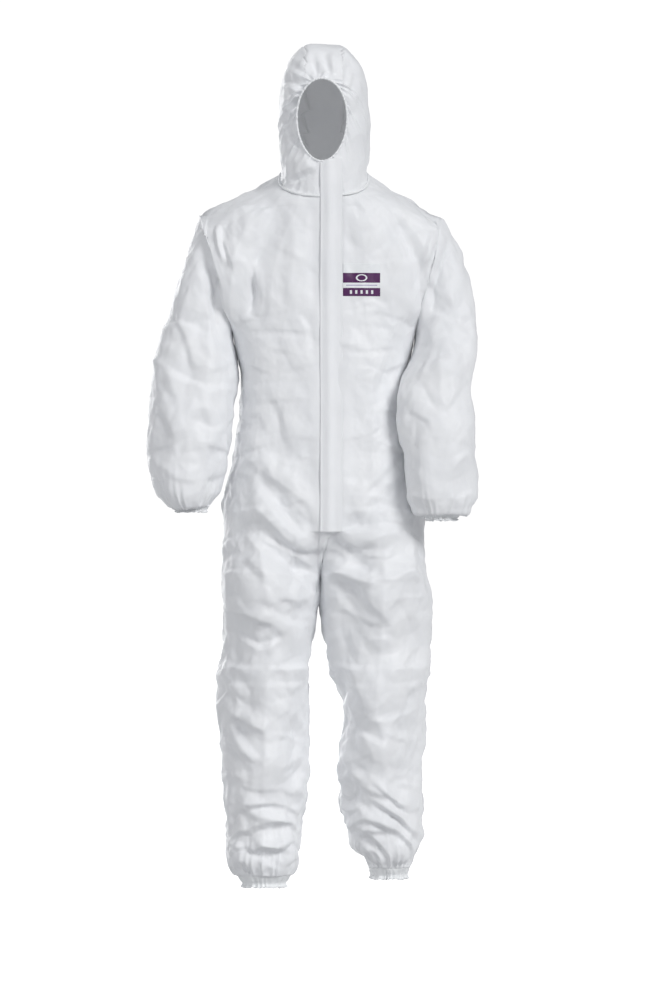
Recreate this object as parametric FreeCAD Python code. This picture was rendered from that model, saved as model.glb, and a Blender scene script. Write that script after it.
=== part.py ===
import FreeCAD, Part
import math
import os
import Mesh

# A hooded disposable chemical protective coverall, worn shape, in millimetres.
# +X is the wearer's left, the front faces -Y, +Z is up.
# The origin is in the middle of the wearer's neck.

os.makedirs("parts", exist_ok=True)
Vector = FreeCAD.Vector

# ---- driving dimensions -------------------------------------------------------------
fabric = 1.0                # thickness of every fabric solid
roundness = 2.4             # exponent of the rounded cross-sections
quarter_steps = 10          # facets in a quarter of the body's girth
ring_steps = 24             # facets round a sleeve, hem or elastic

# The zipper runs down a straight line in a plane x = zip_x, leaning back at its top.
zip_x = 10.0
front_depth_at_neck = 103.0  # from the neck's middle to the zip line at z = 0
front_lean = 0.055          # mm forwards for each mm down
zip_opening = 6.0           # from the zip's middle to each front panel's edge
zip_top = 50.0
zip_bottom = -690.0
zip_closing = 4.0           # the front panels close up over this height below the zip

# Neck seam: an oval that slopes down to the front.
neck_side_z = 22.0
neck_tilt = 0.385
neck_half_width = 97.0
neck_back_depth = 88.0

# Armhole: an oval in a plane that leans in towards the armpit.
shoulder_x = 246.0
shoulder_z = -56.0
shoulder_back_depth = 114.0
armpit_x = 186.0
armpit_z = -300.0
armhole_half_depth = 84.0
sleeve_gap = 1.0            # between the armhole's edge and the sleeve's edge

# Trunk below the armhole: height, half width, back depth.
trunk_sections = [
    (-300, 186, 122), (-345, 170, 119), (-390, 165, 114), (-480, 176, 112),
    (-600, 195, 122), (-700, 205, 134), (-830, 213, 138),
]
trunk_rows = [-335, -370, -420, -480, -540, -600, -650, -696, -700]

# Seat: the trunk turns into two legs between these heights.
seat_top = -700.0
crotch_z = -830.0
seat_rows = [-728, -756, -782, -808, -830]

# Legs: height, middle from the centre plane, half width, middle in depth, half depth.
leg_sections = [
    (-830, 107, 107, -2, 124), (-860, 111, 104, -4, 115), (-950, 116, 97, -3, 100),
    (-1040, 123, 93, -8, 92), (-1130, 124, 87, 0, 88), (-1220, 117, 87, 5, 84),
    (-1300, 123, 80, 8, 76), (-1360, 126, 74, 7, 67), (-1390, 126, 62, 4, 56),
    (-1412, 125, 44, 2, 44),
]
leg_rows = [-860, -905, -950, -995, -1040, -1085, -1130, -1175, -1220, -1260, -1300, -1335,
            -1362, -1390, -1412]
ankle_hem_height = 24.0

# Sleeves: one ring per line. The outer and the inner point of the ring (x away from the
# body, z), then its middle in depth and its half depth. The wearer's left arm bends forwards.
sleeve_rings = {
    "right": [
        ((286, -140), (184, -320), -6, 80), ((319, -251), (177, -352), -14, 75),
        ((345, -325), (174, -392), -24, 73), ((357, -424), (181, -440), -34, 71),
        ((358, -500), (187, -500), -44, 69), ((354, -573), (204, -573), -54, 62),
        ((342, -622), (218, -622), -60, 52), ((316, -648), (238, -646), -62, 38),
    ],
    "left": [
        ((288, -140), (185, -320), -10, 79), ((315, -242), (177, -350), -40, 71),
        ((319, -322), (158, -388), -78, 66), ((309, -405), (147, -428), -106, 61),
        ((310, -475), (152, -480), -113, 59), ((313, -560), (164, -560), -118, 56),
        ((313, -625), (170, -628), -120, 50), ((294, -660), (186, -663), -120, 40),
    ],
}
cuff_middles = {"right": (274, -62, -656), "left": (238, -119, -675)}
cuff_half_width = 29.0
cuff_half_depth = 27.0
cuff_height = 13.0

# Hood: height, half width, front depth, back depth. Above dome_z it is a dome.
hood_sections = [(42, 86, 100.7, 100), (62, 89, 99.6, 111), (95, 91, 100.5, 120),
                 (125, 92, 103, 126), (150, 92, 105, 128)]
hood_rows = [42, 57, 75, 95, 122, 150]
dome_z = 150.0
dome_half_width = 92.0
dome_front = 105.0
dome_back = 128.0
dome_height = 155.0
centre_strip_half_width = 39.0
hood_seam_gap = 1.0

# Face opening: the inner edge of its elasticated hem, an egg seen from the front.
face_x = -3.0
face_z = 145.0
face_half_width = 49.0
face_half_height = 82.0
face_egg = 0.10
face_hem_width = 6.0


# ---- curves and sections ------------------------------------------------------------
def between(a, b, t):
    return a + (b - a) * t


def ease(t):
    t = max(0.0, min(1.0, t))
    return t * t * (3 - 2 * t)


def section_at(table, z):
    """A smooth curve through each column of a table whose first column is the height."""
    last = len(table) - 1
    index = 0
    while index < last - 1 and z < table[index + 1][0] < table[index][0]:
        index += 1
    while index < last - 1 and table[index + 1][0] > table[index][0] and z > table[index + 1][0]:
        index += 1
    low, high = table[index], table[index + 1]
    before, after = table[max(index - 1, 0)], table[min(index + 2, last)]
    span = high[0] - low[0]
    t = (z - low[0]) / span
    values = []
    for k in range(1, len(low)):
        slope_low = (high[k] - before[k]) / (high[0] - before[0]) * span
        slope_high = (after[k] - low[k]) / (after[0] - low[0]) * span
        value = (2 * t ** 3 - 3 * t ** 2 + 1) * low[k] + (t ** 3 - 2 * t ** 2 + t) * slope_low
        value += (3 * t ** 2 - 2 * t ** 3) * high[k] + (t ** 3 - t ** 2) * slope_high
        values.append(value)
    return values


def power(value):
    """Turns a sine or cosine into the coordinate of a rounded rectangle."""
    return math.copysign(abs(value) ** (2 / roundness), value)


def front_depth(z, tilt=0.0):
    return (front_depth_at_neck - front_lean * z) / (1 - front_lean * tilt)


def armhole_x(z):
    return between(shoulder_x, armpit_x, (shoulder_z - z) / (shoulder_z - armpit_z))


def armhole_depth(z):
    middle = (shoulder_z + armpit_z) / 2
    half = (shoulder_z - armpit_z) / 2
    return armhole_half_depth * math.sqrt(max(0.0, 1 - ((z - middle) / half) ** 2))


def trunk_section_rows():
    """Each row: height, tilt, half width, back depth, half depth of the armhole."""
    rows = []
    for t in (0.0, 0.25, 0.5, 0.75):
        rows.append((between(neck_side_z, shoulder_z, t), between(neck_tilt, 0, t),
                     between(neck_half_width, shoulder_x, t),
                     between(neck_back_depth, shoulder_back_depth, t), 0.0))
    armhole_steps = 9
    for k in range(armhole_steps + 1):
        middle = (shoulder_z + armpit_z) / 2
        half = (shoulder_z - armpit_z) / 2
        z = middle + half * math.cos(math.pi * k / armhole_steps)
        back = between(shoulder_back_depth, trunk_sections[0][2], ease(1.6 * k / armhole_steps))
        rows.append((z, 0.0, armhole_x(z), back, armhole_depth(z)))
    for z in trunk_rows + seat_rows:
        half_width, back = section_at(trunk_sections, z)
        rows.append((z, 0.0, half_width, back, 0.0))
    return rows


def trunk_point(side, front, angle, row):
    """A point of the trunk. The angle runs from the centre plane, 0, to the side, 90 degrees."""
    z, tilt, half_width, back, edge = row
    k = ease((seat_top - z) / (seat_top - crotch_z))
    depth = front_depth(z, tilt) if front else back
    start = 0.0
    if front:
        start = side * zip_x * (1 - k)
        start += zip_opening * ease((z - seat_top) / zip_closing)
    x = start + (half_width - start) * power(math.sin(angle))
    y = edge + (depth - edge) * power(math.cos(angle))
    if front:
        y = -y
    if k > 0:
        middle, leg_width, middle_y, leg_depth = section_at(leg_sections, crotch_z)
        leg_x = middle - leg_width * math.cos(2 * angle)
        leg_y = middle_y + (-1 if front else 1) * leg_depth * power(math.sin(2 * angle))
        x = between(x, leg_x, k)
        y = between(y, leg_y, k)
    return Vector(side * x, y, z + tilt * y)


def leg_point(side, front, angle, z):
    middle, half_width, middle_y, half_depth = section_at(leg_sections, z)
    x = middle - half_width * math.cos(2 * angle)
    y = middle_y + (-1 if front else 1) * half_depth * power(abs(math.sin(2 * angle)))
    return Vector(side * x, y, z)


def dome_scale(z):
    return (1 - (max(z - dome_z, 0) / dome_height) ** roundness) ** (1 / roundness)


def hood_section_rows():
    """Each row: height, tilt, half width, front depth, back depth."""
    neck_front = front_depth(neck_side_z, neck_tilt)
    first = section_at(hood_sections, hood_rows[0])
    rows = [(neck_side_z + 1.0, neck_tilt, neck_half_width, neck_front, neck_back_depth)]
    rows.append((between(neck_side_z, hood_rows[0], 0.5), neck_tilt * 0.72,
                 between(neck_half_width, first[0], 0.6), between(neck_front, first[1], 0.5),
                 between(neck_back_depth, first[2], 0.5)))
    for z, tilt in zip(hood_rows, (0.28, 0.16, 0.06, 0, 0, 0)):
        rows.append((z, tilt) + tuple(section_at(hood_sections, z)))
    for height in (0.17, 0.33, 0.48, 0.62, 0.74, 0.84, 0.915, 0.965):
        z = dome_z + dome_height * height
        scale = dome_scale(z)
        rows.append((z, 0.0, dome_half_width * scale, dome_front * scale, dome_back * scale))
    return rows


def face_edge(side, z):
    """How far the hood panel's front edge stands from the centre plane, on one side."""
    half_height = face_half_height + face_hem_width
    relative = (z - face_z) / half_height
    if abs(relative) >= 1:
        return -1000.0
    half_width = (face_half_width + face_hem_width) * math.sqrt(1 - relative ** 2)
    return side * face_x + half_width * (1 + face_egg * relative)


def hood_point(side, front, t, row):
    """A point of a hood side panel; t runs from its front or back edge, 0, to its side, 1."""
    z, tilt, half_width, front_size, back_size = row
    if front:
        inner = side * zip_x + zip_opening
        if z > face_z:
            inner = centre_strip_half_width + hood_seam_gap
        inner = max(inner, face_edge(side, z + tilt * -front_size))
    else:
        inner = centre_strip_half_width + hood_seam_gap
    share = min(inner, half_width) / half_width
    start = math.asin(math.copysign(abs(share) ** (roundness / 2), share))
    angle = between(start, math.pi / 2, t)
    x = half_width * power(math.sin(angle))
    depth = -front_size if front else back_size
    y = depth * power(math.cos(angle))
    return Vector(side * x, y, z + tilt * y)


# ---- closed solids from grids of points ---------------------------------------------
def key(point):
    return (round(point.x, 3), round(point.y, 3), round(point.z, 3))


def grid_triangles(grid, wrap=False):
    """Triangles of a grid of points; wrap joins the last column to the first."""
    triangles = []
    columns = len(grid[0])
    for r in range(len(grid) - 1):
        for c in range(columns if wrap else columns - 1):
            d = (c + 1) % columns
            corners = (grid[r][c], grid[r][d], grid[r + 1][d], grid[r + 1][c])
            for triangle in ((corners[0], corners[1], corners[2]), (corners[0], corners[2], corners[3])):
                if len({key(p) for p in triangle}) == 3:
                    triangles.append(triangle)
    return triangles


def orient(triangles, axis_point):
    """Turns all triangles the same way round if together they face the axis."""
    facing = 0.0
    for a, b, c in triangles:
        normal = (b - a).cross(c - a)
        middle = (a + b + c) * (1 / 3)
        facing += normal.dot(middle - axis_point(middle))
    if facing < 0:
        return [(a, c, b) for a, b, c in triangles]
    return triangles


def vertex_normals(triangle_lists):
    """One outward normal per place, shared by all the panels that meet there."""
    sums = {}
    for triangles in triangle_lists:
        for a, b, c in triangles:
            normal = (b - a).cross(c - a)
            for point in (a, b, c):
                sums[key(point)] = sums.get(key(point), Vector(0, 0, 0)) + normal
    return {place: Vector(total).normalize() for place, total in sums.items()}


def thicken(triangles, normals, low, high):
    """A closed solid between two offsets of a sheet, both measured inwards from it."""
    def moved(point, depth):
        return point - normals[key(point)] * depth
    facets = []
    edges = {}
    for a, b, c in triangles:
        facets.append((moved(a, low), moved(b, low), moved(c, low)))
        facets.append((moved(a, high), moved(c, high), moved(b, high)))
        for start, end in ((a, b), (b, c), (c, a)):
            edges[(key(start), key(end))] = (start, end)
    for (start_key, end_key), (start, end) in edges.items():
        if (end_key, start_key) in edges:
            continue
        facets.append((moved(start, low), moved(start, high), moved(end, high)))
        facets.append((moved(start, low), moved(end, high), moved(end, low)))
    return solid_from(facets)


def solid_from(facets):
    mesh = Mesh.Mesh([[tuple(p) for p in facet] for facet in facets])
    shape = Part.Shape()
    shape.makeShapeFromMesh(mesh.Topology, 0.0001)
    solid = Part.makeSolid(shape)
    if solid.Volume < 0:
        solid.reverse()
    return solid


def swept(frames, profile, closed):
    """A solid along frames (origin, a, b). The profile is a loop of (a, b) points, given as
    a front row and a back row of equal length, so that its two ends can be capped."""
    front, back = profile
    loop = list(front) + list(reversed(back))
    rings = []
    for origin, a, b in frames:
        rings.append([origin + a * p[0] + b * p[1] for p in loop])
    if closed:
        rings.append(rings[0])
    facets = grid_triangles(rings, wrap=True)
    if not closed:
        half = len(front)
        for ring, forwards in ((rings[0], True), (rings[-1], False)):
            for k in range(half - 1):
                corners = (ring[k], ring[k + 1], ring[len(loop) - 2 - k], ring[len(loop) - 1 - k])
                first, second = (corners[0], corners[1], corners[2]), (corners[0], corners[2], corners[3])
                for triangle in (first, second):
                    facets.append(triangle[::-1] if forwards else triangle)
    return solid_from(facets)


def save(name, shape):
    shape.exportStep(os.path.join("parts", name + ".step"))
    print(name, "valid" if shape.isValid() else "INVALID", round(shape.Volume / 1000, 1), "cm3")


# ---- the suit's panels --------------------------------------------------------------
def body_grids():
    """Outer surface of each sewn panel of the suit's body: name to grid of points."""
    grids = {}
    steps = range(quarter_steps + 1)
    angles = [math.pi / 2 * k / quarter_steps for k in steps]
    rows = trunk_section_rows()
    hood = hood_section_rows()
    for side, name in ((1, "left"), (-1, "right")):
        for front, place in ((True, "front"), (False, "back")):
            grid = [[trunk_point(side, front, a, row) for a in angles] for row in rows]
            grid += [[leg_point(side, front, a, z) for a in angles] for z in leg_rows]
            grids[place + "_panel_" + name] = grid
        side_grid = []
        for row in hood:
            front_half = [hood_point(side, True, k / quarter_steps, row) for k in steps]
            back_half = [hood_point(side, False, k / quarter_steps, row) for k in steps]
            side_grid.append(front_half + back_half[-2::-1])
        grids["hood_panel_" + name] = side_grid
    grids["hood_centre_panel"] = centre_strip_grid(hood)
    return grids


def centre_strip_grid(hood):
    """The strip over the head, from the face opening's top edge to the nape."""
    columns = []
    edge = centre_strip_half_width - hood_seam_gap
    for k in range(9):
        x = between(-edge, edge, k / 8)
        reach = (1 - (abs(x) / dome_half_width) ** roundness) ** (1 / roundness)
        sideways = (x - face_x) / (face_half_width + face_hem_width)
        opening_z = face_z + (face_half_height + face_hem_width) * math.sqrt(1 - sideways ** 2)
        rise = ((opening_z - dome_z) / dome_height / reach) ** (roundness / 2)
        start = math.asin(rise)
        column = []
        for step in range(25):
            angle = between(start, math.pi, step / 24)
            depth = dome_front if angle < math.pi / 2 else dome_back
            y = -depth * reach * power(math.cos(angle))
            z = dome_z + dome_height * reach * power(math.sin(angle))
            column.append(Vector(x, y, z))
        back_rows = [row for row in reversed(hood) if row[0] < dome_z - 1]
        for z, tilt, half_width, _, back in back_rows:
            y = back * (1 - (abs(x) / half_width) ** roundness) ** (1 / roundness)
            column.append(Vector(x, y, z + tilt * y))
        columns.append(column)
    return [list(row) for row in zip(*columns)]


def trunk_axis(point):
    middle = 0.0
    if point.z < crotch_z:
        middle = math.copysign(section_at(leg_sections, max(point.z, leg_rows[-1]))[0], point.x)
    return Vector(middle, 0, min(point.z, 190.0))


def make_body_panels():
    grids = body_grids()
    sheets = {name: orient(grid_triangles(grid), trunk_axis) for name, grid in grids.items()}
    normals = vertex_normals(sheets.values())
    for name, triangles in sheets.items():
        save(name, thicken(triangles, normals, 0.0, fabric))
    make_seam_tapes(grids, normals)
    make_waist_elastic(grids, normals)


def seam_tape(line, across, normals):
    """A bound seam allowance on the inside, clear of the panels on both sides of it."""
    clearance = 1.9
    thickness = 0.6
    half_width = 4.0
    frames = []
    for point, towards in zip(line, across):
        normal = normals[key(point)]
        flat = (towards - normal * towards.dot(normal)).normalize()
        frames.append((point - normal * (fabric + clearance), flat, normal * -1))
    near = [(-half_width, 0), (half_width, 0)]
    far = [(-half_width, thickness), (half_width, thickness)]
    return swept(frames, (near, far), False)


def make_seam_tapes(grids, normals):
    """The tapes along the side seams, the inside leg seams and the centre back seam."""
    first_below_armhole = next(i for i, row in enumerate(grids["front_panel_left"])
                               if row[-1].z < armpit_z - 20)
    last_above_crotch = next(i for i, row in enumerate(grids["front_panel_left"])
                             if row[0].z < crotch_z - 1)

    for name in ("left", "right"):
        front = grids["front_panel_" + name]
        rows = front[first_below_armhole:-1]
        towards = [row[-2] - row[-1] for row in rows]
        save("side_seam_tape_" + name, seam_tape([row[-1] for row in rows], towards, normals))
        rows = front[last_above_crotch + 1:-1]
        towards = [row[1] - row[0] for row in rows]
        save("inseam_tape_" + name, seam_tape([row[0] for row in rows], towards, normals))
    back = grids["back_panel_left"]
    rows = back[1:last_above_crotch - 2]
    towards = [row[1] - row[0] for row in rows]
    save("centre_back_seam_tape", seam_tape([row[0] for row in rows], towards, normals))


def make_waist_elastic(grids, normals):
    """A flat elastic under tension across the back waist, in a stitched-down fabric casing."""
    waist = next(i for i, row in enumerate(grids["back_panel_left"]) if row[-1].z < -400)
    reach = quarter_steps - 2
    left = grids["back_panel_left"][waist][1:reach]
    right = grids["back_panel_right"][waist][1:reach]
    line = list(reversed(right)) + left
    half_height = 5.0
    layers = {"waist_elastic": (2.6, 3.6, half_height), "waist_elastic_casing": (3.95, 4.55, half_height + 5)}
    for name, (low, high, half) in layers.items():
        frames = []
        for point in line:
            normal = normals[key(point)]
            inwards = Vector(-normal.x, -normal.y, 0).normalize()
            frames.append((point, inwards, Vector(0, 0, 1)))
        profile = ([(low, -half), (low, half)], [(high, -half), (high, half)])
        save(name, swept(frames, profile, False))


# ---- sleeves ------------------------------------------------------------------------
def ring_points(outer, inner, middle_y, half_depth):
    """A loop round the arm, from the outer point over the front to the inner point and back."""
    middle = (Vector(outer[0], 0, outer[1]) + Vector(inner[0], 0, inner[1])) * 0.5
    middle.y = middle_y
    half = (Vector(outer[0], 0, outer[1]) - Vector(inner[0], 0, inner[1])) * 0.5
    points = []
    for k in range(ring_steps):
        angle = 2 * math.pi * k / ring_steps
        points.append(middle + half * math.cos(angle) + Vector(0, -half_depth * math.sin(angle), 0))
    return points


def mirrored(side, point):
    return Vector(side * point.x, point.y, point.z)


def sleeve_grid(side, name):
    """Rings from the armhole to the cuff, with one more ring halfway between each two."""
    direction = Vector(shoulder_x - armpit_x, 0, shoulder_z - armpit_z).normalize()
    outwards = Vector(direction.z, 0, -direction.x)
    keys = [((shoulder_x, shoulder_z), (armpit_x, armpit_z), 0, armhole_half_depth)]
    keys += sleeve_rings[name]
    middle = cuff_middles[name]
    keys.append(((middle[0] + cuff_half_width, middle[2]), (middle[0] - cuff_half_width, middle[2]),
                 middle[1], cuff_half_depth))
    table = [(-i,) + keys[i][0] + keys[i][1] + tuple(keys[i][2:]) for i in range(len(keys))]
    grid = []
    for half_step in range(2 * len(keys) - 1):
        ox, oz, ix, iz, y, depth = section_at(table, -half_step / 2)
        grid.append([mirrored(side, p) for p in ring_points((ox, oz), (ix, iz), y, depth)])
    shift = outwards * sleeve_gap
    grid[0] = [p + mirrored(side, shift) for p in grid[0]]
    return grid


def make_sleeve(side, name):
    grid = sleeve_grid(side, name)
    middles = [sum(ring, Vector(0, 0, 0)) * (1 / len(ring)) for ring in grid]

    def axis(point):
        return min(middles, key=lambda middle: (middle - point).Length)

    triangles = orient(grid_triangles(grid, wrap=True), axis)
    normals = vertex_normals([triangles])
    save("sleeve_" + name, thicken(triangles, normals, 0.0, fabric))
    underarm = [ring[ring_steps // 2] for ring in grid[1:-1]]
    towards = [ring[ring_steps // 2 + 1] - ring[ring_steps // 2] for ring in grid[1:-1]]
    save("sleeve_seam_tape_" + name, seam_tape(underarm, towards, normals))
    middle = cuff_middles[name]
    middle = Vector(side * middle[0], middle[1], middle[2] - 0.6)
    make_hem("cuff", name, middle, cuff_half_width, cuff_half_depth, cuff_height)


def make_hem(kind, name, top_middle, half_width, half_depth, height):
    """A hem turned inwards over an elastic, as a channel that is open on its inside."""
    wall = 1.2
    deep = 4.4
    gap = 0.4
    frames = []
    for k in range(ring_steps):
        angle = 2 * math.pi * k / ring_steps
        out = Vector(math.cos(angle) / half_width, math.sin(angle) / half_depth, 0).normalize()
        place = Vector(half_width * math.cos(angle), half_depth * math.sin(angle), 0)
        frames.append((top_middle + place, out, Vector(0, 0, -1)))
    outside = [(-deep, 0), (0, 0), (0, height), (-deep, height)]
    inside = [(-deep, wall), (-wall, wall), (-wall, height - wall), (-deep, height - wall)]
    save(kind + "_hem_" + name, swept(frames, (outside, inside), True))
    outer_face = -wall - gap
    inner_face = -deep + gap
    low = wall + gap
    high = height - wall - gap
    band = ([(outer_face, low), (outer_face, high)], [(inner_face, low), (inner_face, high)])
    save(kind + "_elastic_" + name, swept(frames, band, True))


# ---- face opening -------------------------------------------------------------------
def hood_front_y(x, z):
    """Depth of the hood's outer surface at a place on its front."""
    if z > dome_z:
        scale = dome_scale(z)
        half_width, depth = dome_half_width * scale, dome_front * scale
    else:
        half_width, depth, _ = section_at(hood_sections, max(z, hood_sections[0][0]))
    return -depth * (1 - (abs(x) / half_width) ** roundness) ** (1 / roundness)


def make_face_hem():
    """The turned hem of the face opening and the elastic threaded through it."""
    places = []
    for k in range(2 * ring_steps):
        angle = 2 * math.pi * k / (2 * ring_steps)
        lift = math.sin(angle)
        x = face_x + (face_half_width + 3) * math.cos(angle) * (1 + face_egg * lift)
        z = face_z + (face_half_height + 3) * lift
        places.append(Vector(x, hood_front_y(x, z) - 0.5, z))
    frames = []
    for k, place in enumerate(places):
        along = (places[(k + 1) % len(places)] - places[k - 1]).normalize()
        outwards = Vector(0, -1, 0)
        across = along.cross(outwards).normalize()
        frames.append((place, across, across.cross(along).normalize()))
    half = 2.2
    deep = 2.0
    wall = 0.7
    casing_front = [(-half, deep), (-half, -deep), (half, -deep), (half, deep)]
    inner = half - wall
    casing_back = [(-inner, deep), (-inner, wall - deep), (inner, wall - deep), (inner, deep)]
    save("face_hem", swept(frames, (casing_front, casing_back), True))
    cord = 0.9
    band = ([(-cord, -cord), (cord, -cord)], [(-cord, cord), (cord, cord)])
    save("face_elastic", swept(frames, band, True))


def make_neck_seam():
    """The raised overlocked seam that joins hood and body, from one zip edge to the other."""
    frames = []
    low = 1.2
    high = 5.0
    near = 0.5
    far = 2.5
    front = front_depth(neck_side_z, neck_tilt)
    start = 26.0
    end = 351.0
    steps = 44
    for k in range(steps + 1):
        angle = math.radians(between(start, end, k / steps))
        x = neck_half_width * power(math.sin(angle))
        y = -power(math.cos(angle)) * (front if math.cos(angle) > 0 else neck_back_depth)
        out = Vector(math.sin(angle) / neck_half_width, -math.cos(angle) / front, 0).normalize()
        frames.append((Vector(x, y, neck_side_z + neck_tilt * y), out, Vector(0, 0, 1)))
    profile = ([(near, low), (near, high)], [(far, low), (far, high)])
    save("neck_seam", swept(frames, profile, False))


# ---- zipper and storm flap ----------------------------------------------------------
# Zip parts are drawn upright at the origin: x across, -y outwards, z along the zip, with
# y = 0 on the front panels' outer face. They are then leaned and put on the zip line.
zip_angle = -math.degrees(math.atan(front_lean))
tape_front = 1.35
tape_thickness = 0.5
coil_inner = 0.7
coil_outer = 3.2
coil_front = -0.7
slider_length = 14.0
slider_half_width = 4.2
slider_rest_z = 41.0
pin_y = -3.6
pin_radius = 0.6
pin_clearance = 0.08
tab_length = 26.0
tab_width = 8.0
tab_thickness = 1.0
flap_front = -6.6           # the flap's outer face over the slider
flap_top = 53.0
flap_bottom = -705.0
flap_hinge_x = 38.0
flap_edge_x = -8.0


def on_zip_line(shape):
    placed = shape.copy()
    placed.rotate(Vector(0, 0, 0), Vector(1, 0, 0), zip_angle)
    placed.translate(Vector(zip_x, -front_depth_at_neck, 0))
    return placed


def box(x0, x1, y0, y1, z0, z1):
    return Part.makeBox(x1 - x0, y1 - y0, z1 - z0, Vector(x0, y0, z0))


def make_zip_tapes():
    for side, name in ((1, "left"), (-1, "right")):
        low, high = sorted((side * 1.0, side * 15.0))
        tape = box(low, high, tape_front, tape_front + tape_thickness, zip_bottom - 8, zip_top + 3)
        save("zip_tape_" + name, on_zip_line(tape))
        low, high = sorted((side * coil_inner, side * coil_outer))
        coil = box(low, high, coil_front, tape_front, zip_bottom, zip_top - 2.5)
        save("zip_coil_" + name, on_zip_line(coil))


def make_zip_stops():
    stops = []
    for low, high in ((coil_inner, coil_outer + 0.5), (-coil_outer - 0.5, -coil_inner)):
        block = box(low, high, coil_front - 0.4, tape_front, zip_top - 2.5, zip_top + 1.0)
        stops.append(block)
    save("zip_top_stops", on_zip_line(Part.makeCompound(stops)))
    wide = coil_outer + 0.6
    stop = box(-wide, wide, coil_front - 0.5, tape_front, zip_bottom - 5.0, zip_bottom)
    edges = [e for e in stop.Edges if abs(e.BoundBox.YMax - (coil_front - 0.5)) < 0.01]
    save("zip_bottom_stop", on_zip_line(stop.makeFillet(0.3, edges)))


def make_slider():
    """Top plate with side lips, bottom plate behind the tapes, the post that joins them
    between the two coils, and a bridge that carries the pull tab's pin."""
    half = slider_length / 2
    top = box(-slider_half_width, slider_half_width, -2.0, -1.1, -half, half)
    corners = [e for e in top.Edges if abs(e.BoundBox.XLength) < 0.01 and abs(e.BoundBox.ZLength) < 0.01]
    top = top.makeFillet(2.0, corners)
    bottom = box(-slider_half_width, slider_half_width, 2.2, 3.0, -half, half)
    corners = [e for e in bottom.Edges if abs(e.BoundBox.XLength) < 0.01 and abs(e.BoundBox.ZLength) < 0.01]
    bottom = bottom.makeFillet(2.0, corners)
    post = box(-0.35, 0.35, -1.2, 2.3, half - 5.0, half - 1.0)
    lips = []
    for side in (1, -1):
        low, high = sorted((side * 3.55, side * slider_half_width))
        lips.append(box(low, high, -1.2, 0.95, -half + 2.5, half - 2.5))
    cheeks = []
    for side in (1, -1):
        low, high = sorted((side * 1.9, side * 2.9))
        cheek = box(low, high, pin_y - 1.2, -1.5, half - 8.5, half - 3.5)
        rounded = [e for e in cheek.Edges
                   if abs(e.BoundBox.YMax - (pin_y - 1.2)) < 0.01 and e.BoundBox.ZLength < 0.01]
        cheeks.append(cheek.makeFillet(1.0, rounded))
    pin = Part.makeCylinder(pin_radius, 4.4, Vector(-2.2, pin_y, half - 6.0), Vector(1, 0, 0))
    slider = top.multiFuse([bottom, post, pin] + lips + cheeks).removeSplitter()
    slider.translate(Vector(0, 0, slider_rest_z))
    save("zip_slider", on_zip_line(slider))


def make_pull_tab():
    """A flat tab with an eye round the bridge's pin and an oval grip hole near its end."""
    pin_z = slider_rest_z + slider_length / 2 - 6.0
    neck = box(-1.5, 1.5, pin_y - tab_thickness / 2, pin_y + tab_thickness / 2, pin_z - 7.0, pin_z)
    eye = Part.makeCylinder(1.2, 3.0, Vector(-1.5, pin_y, pin_z), Vector(1, 0, 0))
    plate = box(-tab_width / 2, tab_width / 2, pin_y - tab_thickness / 2, pin_y + tab_thickness / 2,
                pin_z - tab_length, pin_z - 5.5)
    corners = [e for e in plate.Edges if e.BoundBox.XLength < 0.01 and e.BoundBox.ZLength < 0.01]
    plate = plate.makeFillet(2.4, corners)
    hole_middle = pin_z - tab_length + 7.5
    hole = box(-1.6, 1.6, pin_y - 2, pin_y + 2, hole_middle - 3, hole_middle + 3)
    corners = [e for e in hole.Edges if e.BoundBox.XLength < 0.01 and e.BoundBox.ZLength < 0.01]
    hole = hole.makeFillet(1.5, corners)
    bore = Part.makeCylinder(pin_radius + pin_clearance, 4.0, Vector(-2, pin_y, pin_z), Vector(1, 0, 0))
    tab = neck.multiFuse([eye, plate]).cut(hole).cut(bore).removeSplitter()
    save("zip_pull_tab", on_zip_line(tab))


def make_storm_flap():
    """A double strip of fabric that arches over the slider, sewn down along its left edge,
    with a peel-off adhesive strip under its free edge."""
    hinge = flap_hinge_x - zip_x
    edge = flap_edge_x - zip_x
    middle = 0.0
    outline = []
    steps = 12
    for k in range(steps + 1):
        x = between(edge, hinge, k / steps)
        span = hinge - 4.0 if x > middle else edge + 2.0
        fall = ease(abs(x - middle) / abs(span))
        foot = -1.9 if x > middle else -2.6
        outline.append((x, between(flap_front, foot, fall)))
    inside = [(x, y + fabric) for x, y in outline]
    frames = []
    rows = 12
    for k in range(rows + 1):
        z = between(flap_bottom, flap_top, k / rows)
        frames.append((Vector(0, 0, z), Vector(1, 0, 0), Vector(0, 1, 0)))
    save("storm_flap", on_zip_line(swept(frames, (outline, inside), False)))
    strips = {"flap_adhesive_strip": (0.05, 0.35), "adhesive_release_liner": (0.4, 0.6)}
    width = 9.0
    for name, (near, far) in strips.items():
        left = edge + 1.0
        front = []
        back = []
        for k in range(4):
            x = between(left, left + width, k / 3)
            fall = ease(abs(x - middle) / abs(edge + 2.0))
            base = between(flap_front, -2.6, fall) + fabric
            front.append((x, base + near))
            back.append((x, base + far))
        save(name, on_zip_line(swept(frames, (front, back), False)))


# ---- hems, print and label ----------------------------------------------------------
def make_ankle_hems():
    middle, half_width, middle_y, half_depth = section_at(leg_sections, leg_rows[-1])
    for side, name in ((1, "left"), (-1, "right")):
        top = Vector(side * middle, middle_y, leg_rows[-1] - 0.6)
        make_hem("ankle", name, top, half_width, half_depth, ankle_hem_height)


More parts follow.
